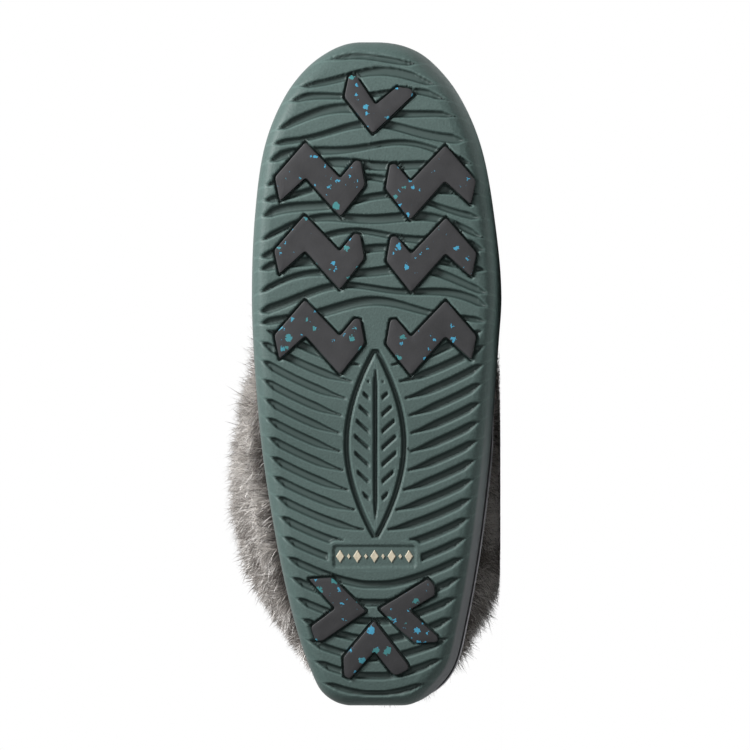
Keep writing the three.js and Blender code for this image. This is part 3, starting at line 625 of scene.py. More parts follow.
def green_rubber(sole):
    """Moulded green rubber: sand grain on the lands, smoother in the grooves. Painted shade darkens the
    grooves' floors and, most of all, the corner under their edge; a painted highlight lightens the land at
    the edge.
    The edge attribute is the distance out of a groove."""
    colour = sole.rubber_colour
    shader = Shader("green_rubber", colour, 0.62, specular=0.4)
    depth, edge = shader.attribute("depth"), shader.attribute("edge")
    grain = shader.noise(0.00085, 2.0, 0.65)
    cloud = shader.noise(0.03, 3.0, 0.6)
    land = shader.shades(grain, 0.3, 0.7, colour, 0.84, 1.16)
    tinted = shader.mix(shader.range(cloud, 0.35, 0.7, 0.0, 0.3), land, shade_of(colour, 1.18))
    # Painted shade: the grooves' floors are darker than the lands.
    base = shader.mix(shader.range(edge, -0.6, -0.2, 1.0, 0.0), tinted, shade_of(colour, 0.7))
    # Painted shade: a dark line in the corner under each groove's edge, strongest where the groove is sunk.
    corner = shader.math("ABSOLUTE", shader.math("ADD", edge, 0.45))
    corner, sunk = shader.range(corner, 0.12, 0.5, 0.48, 0.0), shader.range(depth, 0.05, 0.5)
    base = shader.mix(shader.math("MULTIPLY", corner, sunk), base, shade_of(colour, 0.2))
    # Painted highlight: a light line on the land just out of each groove's edge.
    wear_and_highlight = shader.math("ABSOLUTE", shader.math("SUBTRACT", edge, 0.3))
    base = shader.mix(shader.range(wear_and_highlight, 0.0, 0.3, 0.4, 0.0), base, shade_of(colour, 1.75))
    # Painted reflection: a light grey on the outer side wall, from the ball of the foot back to the heel.
    base = shader.mix(shader.attribute("wall_reflection"), base, sole.wall_reflection_colour)
    rough = shader.range(grain, 0.2, 0.8, 0.5, 0.68)
    height = shader.math("MULTIPLY", grain, shader.range(depth, 0.0, 1.0, 1.0, 0.25))
    return shader.set(Base_Color=base, Roughness=rough, Normal=shader.bump(height, 0.00016, 0.9))


def fleck_layer(shader, size, share, place):
    """Flecks: cells of about a size, of which a share hold a blob as wide as the cell's own number."""
    cells = shader.add("ShaderNodeTexVoronoi", {"Vector": place, "Scale": 1 / size})
    parts = shader.add("ShaderNodeSeparateColor", {"Color": cells.outputs["Color"]})
    wide = shader.range(parts.outputs["Red"], 1 - share, 1.0, 0.0, 0.42)
    return shader.math("LESS_THAN", cells.outputs["Distance"], wide), parts.outputs["Green"]


def black_rubber(sole):
    """Charcoal rubber with small blue and teal flecks pressed into it."""
    colour = sole.lug_colour
    shader = Shader("black_rubber", colour, 0.6, specular=0.4)
    shift = shader.add("ShaderNodeTexNoise", {"Vector": shader.place, "Scale": 900.0, "Detail": 3.0})
    away = shader.add("ShaderNodeVectorMath", {0: shift.outputs["Color"], "Scale": 0.0032}, operation="SCALE")
    place = shader.add("ShaderNodeVectorMath", {0: shader.place, 1: away.outputs[0]}).outputs[0]
    large, large_tint = fleck_layer(shader, 0.0042, 0.44, place)
    small, _ = fleck_layer(shader, 0.002, 0.11, place)
    grain = shader.noise(0.0009, 3.0, 0.7)
    cloud = shader.noise(0.012, 2.0, 0.6)
    base = shader.shades(cloud, 0.3, 0.7, colour, 0.85, 1.25)
    tint = shader.mix(shader.range(large_tint, 0.35, 0.75), sole.fleck_colour, sole.fleck_colour_deep)
    flecked = shader.mix(small, shader.mix(large, base, tint), sole.fleck_colour)
    rough = shader.range(grain, 0.2, 0.8, 0.5, 0.7)
    return shader.set(Base_Color=flecked, Roughness=rough, Normal=shader.bump(grain, 0.00008, 0.8))


def dark_foam(sole):
    """Dense foam: fine pores in the colour and the bump."""
    colour = sole.foam_colour
    shader = Shader("dark_foam", colour, 0.8, specular=0.3)
    pores = shader.noise(0.0007, 4.0, 0.75)
    base = shader.shades(pores, 0.35, 0.65, colour, 0.75, 1.3)
    base = shader.mix(shader.attribute("rim"), base, sole.rim_colour)
    return shader.set(Base_Color=base, Normal=shader.bump(pores, 0.0002, 0.7))


def suede(name, colour, nap_strength):
    """Napped suede: brushed patches light and dark, fine nap in the bump, and a soft sheen."""
    shader = Shader(name, colour, 0.95, specular=0.15, Sheen_Weight=0.25, Sheen_Roughness=0.5)
    stretched = shader.add("ShaderNodeMapping", {"Vector": shader.place, "Scale": (1.0, 0.55, 1.0)})
    nap = shader.noise(0.0011, 5.0, 0.75, stretched.outputs[0])
    brushed = shader.noise(0.014, 4.0, 0.62)
    broad = shader.noise(0.06, 2.0, 0.5)
    base = shader.shades(nap, 0.3, 0.7, colour, 0.6, 1.42)
    base = shader.mix(shader.range(brushed, 0.4, 0.64, 0.0, 0.7), base, shade_of(colour, 1.6))
    base = shader.mix(shader.range(broad, 0.35, 0.65, 0.0, 0.3), base, shade_of(colour, 0.7))
    normal = shader.bump(nap, 0.0005, nap_strength)
    return shader.set(Base_Color=base, Normal=shader.bump(brushed, 0.0006, 0.35, normal))


def fleece(name, colour):
    """Short curly pile: soft tufts in the bump, and painted shade that darkens the colour between them."""
    shader = Shader(name, colour, 1.0, specular=0.1, Sheen_Weight=0.3, Sheen_Roughness=0.6)
    tufts = shader.add("ShaderNodeTexVoronoi", {"Vector": shader.place, "Scale": 420.0}).outputs["Distance"]
    fine = shader.noise(0.0008, 5.0, 0.8)
    heap = shader.math("SUBTRACT", shader.math("MULTIPLY", fine, 0.8), tufts)
    # Painted shade: the colour darkens where the pile is low between its tufts.
    base = shader.shades(heap, -0.5, 0.35, colour, 0.55, 1.12)
    return shader.set(Base_Color=base, Normal=shader.bump(heap, 0.0011, 0.85))


def fur_hair(fur):
    """Soft hair, banded as grey fur is: dark at the root, light along the shaft, each hair its own shade."""
    dark, light, tip = fur.dark_colour, fur.light_colour, fur.tip_colour
    shader = Shader("fur_hair", light, 0.55, specular=0.25, Sheen_Weight=0.15)
    along, shade = shader.attribute("along"), shader.attribute("shade")
    shaft = shader.mix(shader.range(shade, 0.15, 0.85), dark, light)
    banded = shader.mix(shader.range(along, 0.05, 0.55), shade_of(dark, 0.75), shaft)
    ends = shader.mix(shader.range(shade, 0.15, 0.6), shade_of(dark, 1.1), tip)
    return shader.set(Base_Color=shader.mix(shader.range(along, 0.5, 0.95), banded, ends))


def fur_pelt(fur):
    """The underfur between the hairs: dark, with fine streaks."""
    dark = fur.dark_colour
    shader = Shader("fur_pelt", dark, 0.9, specular=0.1)
    streaks = shader.noise(0.0012, 5.0, 0.8)
    patches = shader.noise(0.012, 3.0, 0.6)
    base = shader.shades(streaks, 0.3, 0.7, dark, 0.6, 1.5)
    base = shader.mix(shader.range(patches, 0.4, 0.65, 0.0, 0.5), base, fur.light_colour)
    return shader.set(Base_Color=base, Normal=shader.bump(streaks, 0.0012, 1.0))


def thread(name, colour):
    """Waxed thread, its twist a fine wave."""
    shader = Shader(name, colour, 0.6)
    twist = shader.noise(0.0004, 2.0, 0.6)
    base = shader.shades(twist, 0.35, 0.65, colour, 0.7, 1.2)
    return shader.set(Base_Color=base, Normal=shader.bump(twist, 0.0001, 0.8))


# The upper's surface
def risen(rise):
    """A rise in millimetres: a share of the instep's height, then of the way from there to the collar."""
    over_instep = lerp(INSTEP_HEIGHT, COLLAR_HEIGHT, rise - 1)
    return rise * INSTEP_HEIGHT if rise <= 1 else over_instep


def sized_section(row):
    """A section's shares as millimetres."""
    lengths = {name: SOLE_LENGTH * row[name] for name in ("back", "front")}
    widths = {name: BALL_WIDTH * row[name] for name in ("heel", "fore")}
    heights = {f"{end}Height": risen(row[f"{end}Rise"]) for end in ("back", "front")}
    return {**row, **lengths, **widths, **heights}


SECTIONS = [sized_section(row) for row in SECTION_ROWS]
section = {name: column(SECTIONS, "level", name) for name in SECTIONS[0]}
level_at_height = column(SECTIONS, "backHeight", "level")


def way_of(turn):
    """The way from the heel at 0 to the toe at 1: twice the turn, and back on the outer side."""
    turn = turn % 1
    return np.where(turn <= 0.5, 2 * turn, 2 - 2 * turn)


def upper_at(turn, level):
    """A point of the upper's outside. A section runs from its back to its front point; its half width
    blends the sole's outline, scaled, with an oval whose width is a power of a sine."""
    turn, level = np.broadcast_arrays(np.asarray(turn, float) % 1, np.asarray(level, float))
    side = np.where(turn <= 0.5, 1, -1)
    way = way_of(turn)
    share = along_share(way)
    y = lerp(section["back"](level), section["front"](level), share)
    last = np.clip(section["last"](level), 0, 1)
    forward = smoothstep(share, WIDTH_TURN["from"], WIDTH_TURN["to"])
    width = lerp(section["heel"](level), section["fore"](level), forward)
    round_part = np.abs(np.sin(math.pi * way)) ** section["full"](level)
    oval = side * width * round_part * np.where(side < 0, section["outer"](level), 1)
    lasted = outline_x(way, side) * section["width"](level)
    z = lerp(section["backHeight"](level), section["frontHeight"](level), share) + spring(y) * last
    return np.stack([lerp(oval, lasted, last), y, z], axis=-1)


def upper_out(turn, level):
    """The direction out of the upper: across the way round and the way up, and level at the two rims."""
    level = np.asarray(level, float)
    low, high = np.maximum(level - 0.02, 0), np.minimum(level + 0.02, COLLAR_LEVEL)
    around = upper_at(turn + 0.004, level) - upper_at(turn - 0.004, level)
    up = upper_at(turn, high) - upper_at(turn, low)
    out = np.cross(around, up)
    at_rim = (level <= 0) | (level >= COLLAR_LEVEL)
    out[..., 2] = np.where(np.broadcast_to(at_rim, out.shape[:-1]), 0, out[..., 2])
    return unit(out)


def off_upper(turn, level, depth):
    """A point that stands off the upper's outside by a depth, inward where that is below 0."""
    return upper_at(turn, level) + upper_out(turn, level) * np.asarray(depth)[..., None]


def seam_level(way):
    """The seam's level: the toe's plus a rise by a power of the way back to the seam's start."""
    away = np.maximum(0, 1 - way) / (1 - SEAM["start"])
    return SEAM["toe"] + SEAM["rise"] * np.minimum(1, away) ** SEAM["power"]


def seam_height(way):
    """The height of the seam's ridge, a smooth step that sets in at the seam's start."""
    return SEAM["height"] * smoothstep(way, SEAM["start"] - 0.05, SEAM["start"] + 0.12)


def seam_at(turn):
    """A point of the upper on the seam's line."""
    return upper_at(turn, seam_level(way_of(turn)))


def crease_relief(turn, points):
    """The sum of all creases. Each is a trough across its own line with a low ridge on both sides, and
    fades along the line as a bell curve."""
    relief = np.zeros(points.shape[:-1])
    for crease in CREASES:
        around = ((turn - crease["turn"] + 0.5) % 1 - 0.5) * GIRTH
        rise = points[..., 2] - crease["height"]
        angle = math.radians(crease["angle"])
        along = around * math.cos(angle) + rise * math.sin(angle)
        across = (rise * math.cos(angle) - around * math.sin(angle)) / crease["width"]
        bell = np.exp(-((along / crease["length"]) ** 2))
        profile = (0.55 * across**2 - 1) * np.exp(-(across**2) / 1.6)
        relief += CREASE_STRENGTH * crease["depth"] * bell * profile
    return np.maximum(relief, -DEEPEST_CREASE)


def upper_shell(steps):
    """The upper's points: outside rings from the feather line to the collar, dense where it shows, and
    inside rings back down. The moccasin seam is a rounded ridge, and the creases press in and stand out."""
    turn = turns(steps)[None]
    way = way_of(turn)
    level = np.concatenate([np.linspace(0, 7.6, 118), np.linspace(7.6, COLLAR_LEVEL, 12)[1:]])[:, None]
    away = (level - seam_level(way)) / SEAM["reach"]
    at_toe = smoothstep(way, 0.5, 0.67)
    ridge = seam_height(way) * np.exp(-(np.abs(away) ** 2.6) * 1.6)
    valley = 0.45 * at_toe * np.exp(-((np.abs(away) - 1.35) ** 2) * 9)
    plug_sink = 0.35 * smoothstep(away, 0.6, 1.4) * at_toe
    points = upper_at(turn, level)
    heave = crease_relief(turn, points) + 0.22 * waves(turn * GIRTH, points[..., 2], 21, 26)
    relief = ridge - valley - plug_sink + heave * smoothstep(level, 0.0, 0.7)
    outside = points + upper_out(turn, level) * relief[..., None]
    inside = off_upper(turn, np.linspace(COLLAR_LEVEL, 0, 26)[:, None], -WALL)
    return np.concatenate([outside, inside])


# Settings
def length(name, description, millimetres):
    """A size, given in millimetres and kept in metres."""
    return bpy.props.FloatProperty(
        name=name, description=description, default=millimetres / 1000, min=0, unit="LENGTH", precision=5
    )


def number(name, description, default, low=0.0, high=10.0):
    """A plain number."""
    return bpy.props.FloatProperty(name=name, description=description, default=default, min=low, max=high)


def tone(name, description, colour):
    """A colour."""
    return bpy.props.FloatVectorProperty(
        name=name, description=description, default=colour, subtype="COLOR", min=0, max=1, size=3
    )


class BootSoleSettings(bpy.types.PropertyGroup):
    """Sizes and colours of the sole."""

    groove_width: length("Groove width", "Width of the tread's grooves at the land", 3.7)
    groove_depth: length("Groove depth", "Depth of the tread's grooves", 2.0)
    groove_wall: length("Groove wall", "How wide a groove's slanting wall is", 0.85)
    lug_corner: length("Lug corner", "Radius of the lugs' corners", 1.3)
    lug_bevel: length("Lug bevel", "Width of the round along a lug's edge", 0.35)
    rubber_colour: tone("Rubber", "Colour of the green rubber", (0.06, 0.095, 0.088))
    # A light grey painted on the outer side wall as its reflection.
    wall_reflection_colour: tone("Painted wall reflection", "Colour of the painted reflection on the outer side wall", (0.165, 0.175, 0.182))
    lug_colour: tone("Lugs", "Colour of the lugs", (0.027, 0.027, 0.029))
    fleck_colour: tone("Flecks", "Colour of the lugs' flecks", (0.045, 0.27, 0.42))
    fleck_colour_deep: tone("Deep flecks", "Colour of the greener flecks", (0.04, 0.19, 0.2))
    foam_colour: tone("Foam", "Colour of the midsole", (0.02, 0.021, 0.023))
    rim_colour: tone("Foam rim", "Colour of the midsole's rim", (0.5, 0.5, 0.53))
    mark_colour: tone("Plate marks", "Colour of the small diamonds on the plate", (0.56, 0.5, 0.38))


class BootUpperSettings(bpy.types.PropertyGroup):
    """Sizes and colours of the upper, its lining, insole and binding."""

    suede_colour: tone("Suede", "Colour of the upper", (0.085, 0.08, 0.077))
    binding_colour: tone("Binding", "Colour of the collar's binding", (0.055, 0.051, 0.049))
    thread_colour: tone("Thread", "Colour of the stitches", (0.14, 0.13, 0.12))
    fleece_colour: tone("Fleece", "Colour of the lining and the insole", (0.42, 0.39, 0.34))
    nap: number("Nap", "Strength of the suede's nap", 0.6, 0.0, 1.0)
    stitch: length("Stitch", "Length of one stitch of the moccasin seam", 3.4)
    stitch_spacing: length("Stitch spacing", "From one stitch of the moccasin seam to the next", 5.2)


class BootFurSettings(bpy.types.PropertyGroup):
    """Sizes and colours of the fur."""

    hairs: bpy.props.IntProperty(
        name="Hairs", description="Hairs in each of the fur's bands", default=25000, min=100, max=39000
    )
    hair_length: length("Hair length", "Length of a guard hair", 16.4)
    hair_width: length("Hair width", "Width of a hair at its root", 0.46)
    seed: bpy.props.IntProperty(name="Seed", description="Which random fur it is", default=7)
    dark_colour: tone("Dark", "Colour of the dark hairs and roots", (0.25, 0.225, 0.208))
    light_colour: tone("Light", "Colour of the light hairs", (0.93, 0.895, 0.855))
    tip_colour: tone("Tips", "Colour of the light hairs' tips", (0.98, 0.96, 0.94))


class BootStageSettings(bpy.types.PropertyGroup):
    """Camera, light and floor."""

    pixels_per_mm: number("Scale", "Pixels of a 750 pixel picture to a millimetre of tread", 2.404, 0.1, 20.0)
    key_power: number("Key light", "Power of the soft light, in watts", 10.0, 0.0, 1000.0)
    front_power: number("Front light", "Power of the light behind the camera, in watts", 3.6, 0.0, 1000.0)
    fill: number("Surroundings", "Brightness of the room in front of the boot", 0.2)


# Pieces
def settings(name):
    """The scene's settings for one part of the boot, or for the stage."""
    return getattr(bpy.context.scene, f"boot_{name}")


class BootOperator(bpy.types.Operator):
    """What the boot's operators share."""

    bl_options = {"REGISTER", "UNDO"}

    def execute(self, context):
        self.build()
        return {"FINISHED"}


class BOOT_OT_outsole(BootOperator):
    """Builds the outsole: rings from a spine in the tread's middle out to its rim, over the rolled edge,
    up the side wall and over the lip. Tread points move along Z by the depth of their groove or pocket, and
    points on the rolled edge along its own inward normal."""

    bl_idname = "boot.outsole"
    bl_label = "Outsole"

    SIDE_COUNT = 500
    TREAD_RINGS = 70
    SPINE = (38.0, 232.0)
    SNAP_SHARE = 0.51
    # Parts of the edge's profile, from row to row of its table, and how many rings each has
    EDGE_SPANS = ((0, 3, 13), (3, 4, 4), (4, 5, 5))
    LIP_INSET = 6.0
    # Where on the profile the grooves run out and the side wall's painted reflection sets in, and where along
    # the sole it grows
    RUN_OUT = {"from": 5.2, "to": 8.6}
    WALL_REFLECTION = {"low": 5.6, "high": 7.6, "heel": 40, "ball": 165}
    # How far out of a groove the edge attribute still tells places apart
    FAR = 3.0

    def tread_grid(self, ring, out):
        """Straight lines from the tread's rim to the spine, which runs in the middle between both sides."""
        rim = sole_ring(ring, out, SOLE_EDGE[0]["inset"], LAND_HEIGHT, OUTER_FLARE)
        across = (len(ring) - np.arange(len(ring))) % len(ring)
        middle = (rim + rim[across]) / 2
        along = lerp(*self.SPINE, middle[:, 1] / SOLE_LENGTH)
        share = np.linspace(1, 0, self.TREAD_RINGS + 1)[:-1, None]
        x = lerp(rim[None, :, 0], middle[None, :, 0], share)
        y = lerp(rim[None, :, 1], along[None], share)
        inset = SOLE_EDGE[0]["inset"] + np.hypot(x - rim[None, :, 0], y - rim[None, :, 1])
        return x, y, inset

    def build(self):
        sole = settings("sole")
        width = sole.groove_width * 1000
        deep = sole.groove_depth * 1000
        ring, out = outline_ring(self.SIDE_COUNT)
        x, y, inset = self.tread_grid(ring, out)
        inner = slice(1, None)
        lines = (lambda a, b: groove_distance(a, b, inset[inner], width), plate_distance, pocket_distance)
        for distance in lines:
            x[inner], y[inner] = snapped(x[inner], y[inner], distance, self.SNAP_SHARE)
        depth, nearest = self.sunk(x, y, inset, sole)
        depth = np.maximum(depth, PLATE["depth"] * smoothstep(-plate_distance(x, y), 0, PLATE["wall"]))
        tread = np.stack([x, y, bent(y, LAND_HEIGHT) + depth], axis=-1)
        edge, edge_depth, edge_nearest = self.edge(ring, out, sole)
        last = sole_ring(ring, out, SOLE_EDGE[-1]["inset"] + self.LIP_INSET, OUTSOLE_TOP)
        count = len(ring)
        spine_count = count // 2 + 1
        mirrored = np.minimum(np.arange(count), count - np.arange(count))
        rows = np.concatenate([tread[1:], edge, last[None]])
        index = np.arange(len(rows) * count).reshape(-1, count) + spine_count
        points = np.concatenate([tread[0, :spine_count], rows.reshape(-1, 3)])
        faces = [ring_faces(np.vstack([mirrored[None], index])), index[-1:]]
        material = green_rubber(sole)
        piece = boot_piece("outsole_rubber", laid_down(points), faces, material, "green_rubber", "outsole")
        for name, on_tread, on_edge, on_top in (
            ("wall_reflection", np.zeros_like(depth), self.wall_reflection_share(ring, out), 0.0),
            ("depth", *(np.clip(down / deep, 0, 1) for down in (depth, edge_depth)), 0.0),
            ("edge", *(np.clip(near, -self.FAR, self.FAR) for near in (nearest, edge_nearest)), self.FAR),
        ):
            parts = [on_tread[0, :spine_count], on_tread[1:].ravel(), on_edge.ravel(), np.full(count, on_top)]
            add_attribute(piece, name, np.concatenate(parts))

    def sunk(self, x, y, inset, sole):
        """How deep grooves and pockets are at places on the tread, and how far the nearest one is."""
        groove = groove_distance(x, y, inset, sole.groove_width * 1000)
        pocket = pocket_distance(x, y)
        groove_depth = sole.groove_depth * 1000 * smoothstep(-groove, 0, sole.groove_wall * 1000)
        pocket_depth = POCKET_DEPTH * smoothstep(-pocket, 0, POCKET_WALL)
        return np.maximum(groove_depth, pocket_depth), np.minimum(groove, pocket)

    def edge_reaches(self):
        """How far along the edge's profile each of its rings is."""
        return np.concatenate([
            np.linspace(EDGE_REACH[a], EDGE_REACH[b], steps)[a > 0:] for a, b, steps in self.EDGE_SPANS
        ])

    def wall_reflection_share(self, ring, out):
        """The side wall's painted reflection: on its outer side, growing from the ball of the foot back to
        the heel.
        """
        backward = smoothstep(-ring[:, 1], -self.WALL_REFLECTION["ball"], -self.WALL_REFLECTION["heel"])
        up = smoothstep(self.edge_reaches(), self.WALL_REFLECTION["low"], self.WALL_REFLECTION["high"])
        return up[:, None] * (facing_outer(out) * backward)

    def edge(self, ring, out, sole):
        """The rolled edge and the side wall; grooves run out over the roll as scoops."""
        reach = self.edge_reaches()
        insets, heights = edge_inset(reach), edge_height(reach)
        slope_in, slope_up = np.gradient(insets, reach), np.gradient(heights, reach)
        rings, depths, nearest = [], [], []
        for inset, height, run_in, run_up, run in zip(insets, heights, slope_in, slope_up, reach):
            base = sole_ring(ring, out, inset, height, edge_flare(height))
            depth, distance = self.sunk(base[:, 0], base[:, 1], np.full(len(ring), inset), sole)
            depth = depth * (1 - smoothstep(run, self.RUN_OUT["from"], self.RUN_OUT["to"]))
            inward = np.column_stack([-out * run_up, np.full(len(ring), -run_in)])
            rings.append(base + unit(inward) * depth[:, None])
            depths.append(depth)
            nearest.append(np.where(run < self.RUN_OUT["to"], distance, self.FAR))
        return np.array(rings), np.array(depths), np.array(nearest)


def rounded_corners(corners, radius, steps=5):
    """An outline whose corners are parabolas: each starts and ends a radius from its corner, or less on
    a short side."""
    before, after = np.roll(corners, 1, axis=0), np.roll(corners, -1, axis=0)
    to_before, to_after = before - corners, after - corners
    cut_before = np.minimum(radius, 0.42 * np.linalg.norm(to_before, axis=1))[:, None]
    cut_after = np.minimum(radius, 0.42 * np.linalg.norm(to_after, axis=1))[:, None]
    start = corners + unit(to_before) * cut_before
    end = corners + unit(to_after) * cut_after
    t = np.linspace(0, 1, steps)[None, :, None]
    curve = (1 - t) ** 2 * start[:, None] + 2 * t * (1 - t) * corners[:, None] + t**2 * end[:, None]
    return curve.reshape(-1, 2)


def anticlockwise(corners):
    """An outline, turned round where its area, from the sum of its corners' cross products, is below 0."""
    x, y = corners[:, 0], corners[:, 1]
    area = np.sum(x * np.roll(y, -1) - y * np.roll(x, -1))
    return corners if area > 0 else corners[::-1]


def face_over(outline, spacing):
    """Points inside an outline on a grid, added to it, and the triangles between them all."""
    low, high = outline.min(axis=0), outline.max(axis=0)
    x, y = np.meshgrid(np.arange(low[0], high[0], spacing), np.arange(low[1], high[1], spacing))
    inside = polygon_distance(x, y, outline) < -spacing / 3
    flat = np.concatenate([outline, np.stack([x[inside], y[inside]], axis=-1)])
    border = np.arange(len(outline))
    edges = np.stack([border, np.roll(border, -1)], axis=-1).tolist()
    found = delaunay_2d_cdt([Vector(point) for point in flat], edges, [border.tolist()], 1, 1e-7)
    return np.array([list(point) for point in found[0]]), np.array(found[2])


class BOOT_OT_lugs(BootOperator):
    """Builds the ten lugs: each outline with its corners rounded, a meshed face with a rolled rim, and
    walls into its pocket. A ring moves in by a quarter circle's inset as it rises to the face."""

    bl_idname = "boot.lugs"
    bl_label = "Lugs"

    def build(self):
        sole = settings("sole")
        material = black_rubber(sole)
        bevel = sole.lug_bevel * 1000
        for name, corners in lug_outlines().items():
            outline = anticlockwise(rounded_corners(corners, sole.lug_corner * 1000))
            out = outward(outline, 1)
            flat, triangles = face_over(outline - out * bevel, 3.0)
            levels = [(flat, 0.0)]
            for turn in np.linspace(0, math.pi / 2, 4)[1:]:
                levels.append((outline - out * bevel * (1 - math.sin(turn)), bevel * (1 - math.cos(turn))))
            levels.append((outline, LUG_TOP))
            points = np.concatenate([
                np.column_stack([ring, height + bent(ring[:, 1], LAND_HEIGHT) - LAND_HEIGHT])
                for ring, height in levels
            ])
            count = len(outline)
            rings = np.arange(4 * count).reshape(4, count) + len(flat)
            index = np.vstack([np.arange(count)[None], rings])
            faces = [triangles[:, ::-1], ring_faces(index), index[-1:]]
            boot_piece(name + "_rubber", laid_down(points), faces, material, "black_rubber", name)


class BOOT_OT_plate_marks(BootOperator):
    """Builds the row of small diamonds in the plate's recess: four-sided pyramids cut flat, every
    second one smaller."""

    bl_idname = "boot.plate_marks"
    bl_label = "Plate marks"

    COUNT = 9
    MARGIN = 3.2
    LARGE = (1.75, 2.7)
    SMALL = (0.75, 1.1)

    def build(self):
        colour = settings("sole").mark_colour
        shader = Shader("plate_marks", colour, 0.5)
        wear_and_highlight = shader.noise(0.0012, 3.0, 0.7)
        base = shader.shades(wear_and_highlight, 0.35, 0.7, colour, 0.8, 1.1)
        material = shader.set(Base_Color=base, Normal=shader.bump(wear_and_highlight, 0.00006, 0.6))
        floor = LAND_HEIGHT + PLATE["depth"]
        around = np.arange(4) * math.pi / 2
        corner = np.stack([np.cos(around), np.sin(around)], axis=-1)
        pieces, faces = [], []
        for place in range(self.COUNT):
            size = np.array(self.SMALL if place % 2 else self.LARGE)
            across = (2 * place / (self.COUNT - 1) - 1) * (PLATE["length"] / 2 - self.MARGIN)
            rings = []
            for scale, lift in ((0.82, 0.45), (0.97, 0.3), (1.0, -0.1)):
                flat = np.array([PLATE["x"] + across, PLATE["y"]]) + corner * size * scale
                rings.append(np.column_stack([flat, bent(flat[:, 1], floor) - lift]))
            points, skin = closed_rings(rings)
            faces += [part + len(points) * place for part in skin]
            pieces.append(points)
        points = laid_down(np.concatenate(pieces))
        boot_piece("plate_diamonds", points, faces, material, "black_rubber", smooth=False)


class BOOT_OT_midsole(BootOperator):
    """Builds the midsole: the sole's outline up a round profile, out over the outsole on the outer side.
    Its rim is lighter than the seams above and below it, most of all on the outer side."""

    bl_idname = "boot.midsole"
    bl_label = "Midsole"

    def build(self):
        ring, out = outline_ring(300)
        ledge = LEDGE["out"] * (smoothstep(ring[:, 1], LEDGE["full"], LEDGE["end"]) - 1)
        shares = np.linspace(0, 1, 13)
        rings = []
        for share in shares:
            inset = MIDSOLE_INSET + MIDSOLE_ROUND * (2 * share - 1) ** 2
            rings.append(sole_ring(ring, out, inset, OUTSOLE_TOP + GAP + MIDSOLE_THICKNESS * share, ledge))
        piece = ring_piece("midsole_foam", rings, dark_foam(settings("sole")), "dark_foam", "midsole")
        rim = smoothstep(shares, 0.05, 0.16) * (1 - smoothstep(shares, 0.5, 0.66))
        add_attribute(piece, "rim", rim[:, None] * lerp(0.3, 1, facing_outer(out)))


class BOOT_OT_upper(BootOperator):
    """Builds the upper as one hollow shell of its real wall, open at the collar and underneath."""

    bl_idname = "boot.upper"
    bl_label = "Upper"

    def build(self):
        upper = settings("upper")
        material = suede("suede", upper.suede_colour, upper.nap)
        ring_piece("upper_suede", upper_shell(320), material, "suede", "upper", ends=False)


def thread_arcs(centres, across, out, size, lift, thick):
    """Stitches: thin tubes on half ellipses. Along one the place is centre + across * size * cos + out *
    lift * sin, and round it a circle of the thread's radius."""
    bow = np.linspace(math.pi * 1.04, -math.pi * 0.04, 8)[None, :, None]
    over = out[:, None] * np.sin(bow) * lift
    centre_line = centres[:, None] + across[:, None] * np.cos(bow) * size / 2 + over
    along = unit(across[:, None] * -np.sin(bow) * size / 2 + out[:, None] * np.cos(bow) * lift)
    aside = unit(np.cross(across, out))[:, None] * np.ones_like(along)
    up = np.cross(along, aside)
    turn = np.arange(6) * math.pi / 3
    circle = aside[:, :, None] * np.cos(turn)[:, None] + up[:, :, None] * np.sin(turn)[:, None]
    points = centre_line[:, :, None] + circle * thick / 2
    stitch_count, ring_count, sides = points.shape[:3]
    index = np.arange(points.size // 3).reshape(stitch_count, ring_count, sides)
    after = np.roll(index, -1, axis=2)
    quads = np.stack([index[:, :-1], index[:, 1:], after[:, 1:], after[:, :-1]], axis=-1).reshape(-1, 4)
    return points.reshape(-1, 3), [quads, index[:, 0], index[:, -1, ::-1]]


class BOOT_OT_stitches(BootOperator):
    """Sews the moccasin seam and the collar: evenly spaced stitches over the seam's ridge and the binding."""

    bl_idname = "boot.stitches"
    bl_label = "Stitches"

    def along_seam(self, spacing):
        """Evenly spaced turns along the seam, where it shows."""
        turn = np.linspace(0.5 * (SEAM["start"] + 0.03), 1 - 0.5 * (SEAM["start"] + 0.03), 2000)
        reach = summed(np.linalg.norm(np.diff(seam_at(turn), axis=0), axis=1))
        return np.interp(np.arange(spacing / 2, reach[-1], spacing), reach, turn)

    def build(self):
        upper = settings("upper")
        material = thread("thread", upper.thread_colour)
        turn = self.along_seam(upper.stitch_spacing * 1000)
        out = upper_out(turn, seam_level(way_of(turn)))
        centre = seam_at(turn) + out * (seam_height(way_of(turn)) - 1.3)[:, None]
        around = unit(seam_at(turn + 0.002) - seam_at(turn - 0.002))
        across = unit(np.cross(out, around) + 0.35 * around)
        points, faces = thread_arcs(centre, across, out, upper.stitch * 1000, 1.75, 0.75)
        boot_piece("moccasin_stitches", laid_down(points), faces, material, "suede")
        turn = turns(116)
        out = upper_out(turn, COLLAR_LEVEL)
        centre = upper_at(turn, COLLAR_LEVEL) + out * 0.55 + np.array([0, 0, GAP + 1.5])
        points, faces = thread_arcs(centre, unit(np.cross([0, 0, 1.0], out)), out, 3.6, 0.85, 0.6)
        boot_piece("collar_stitches", laid_down(points), faces, material, "binding")


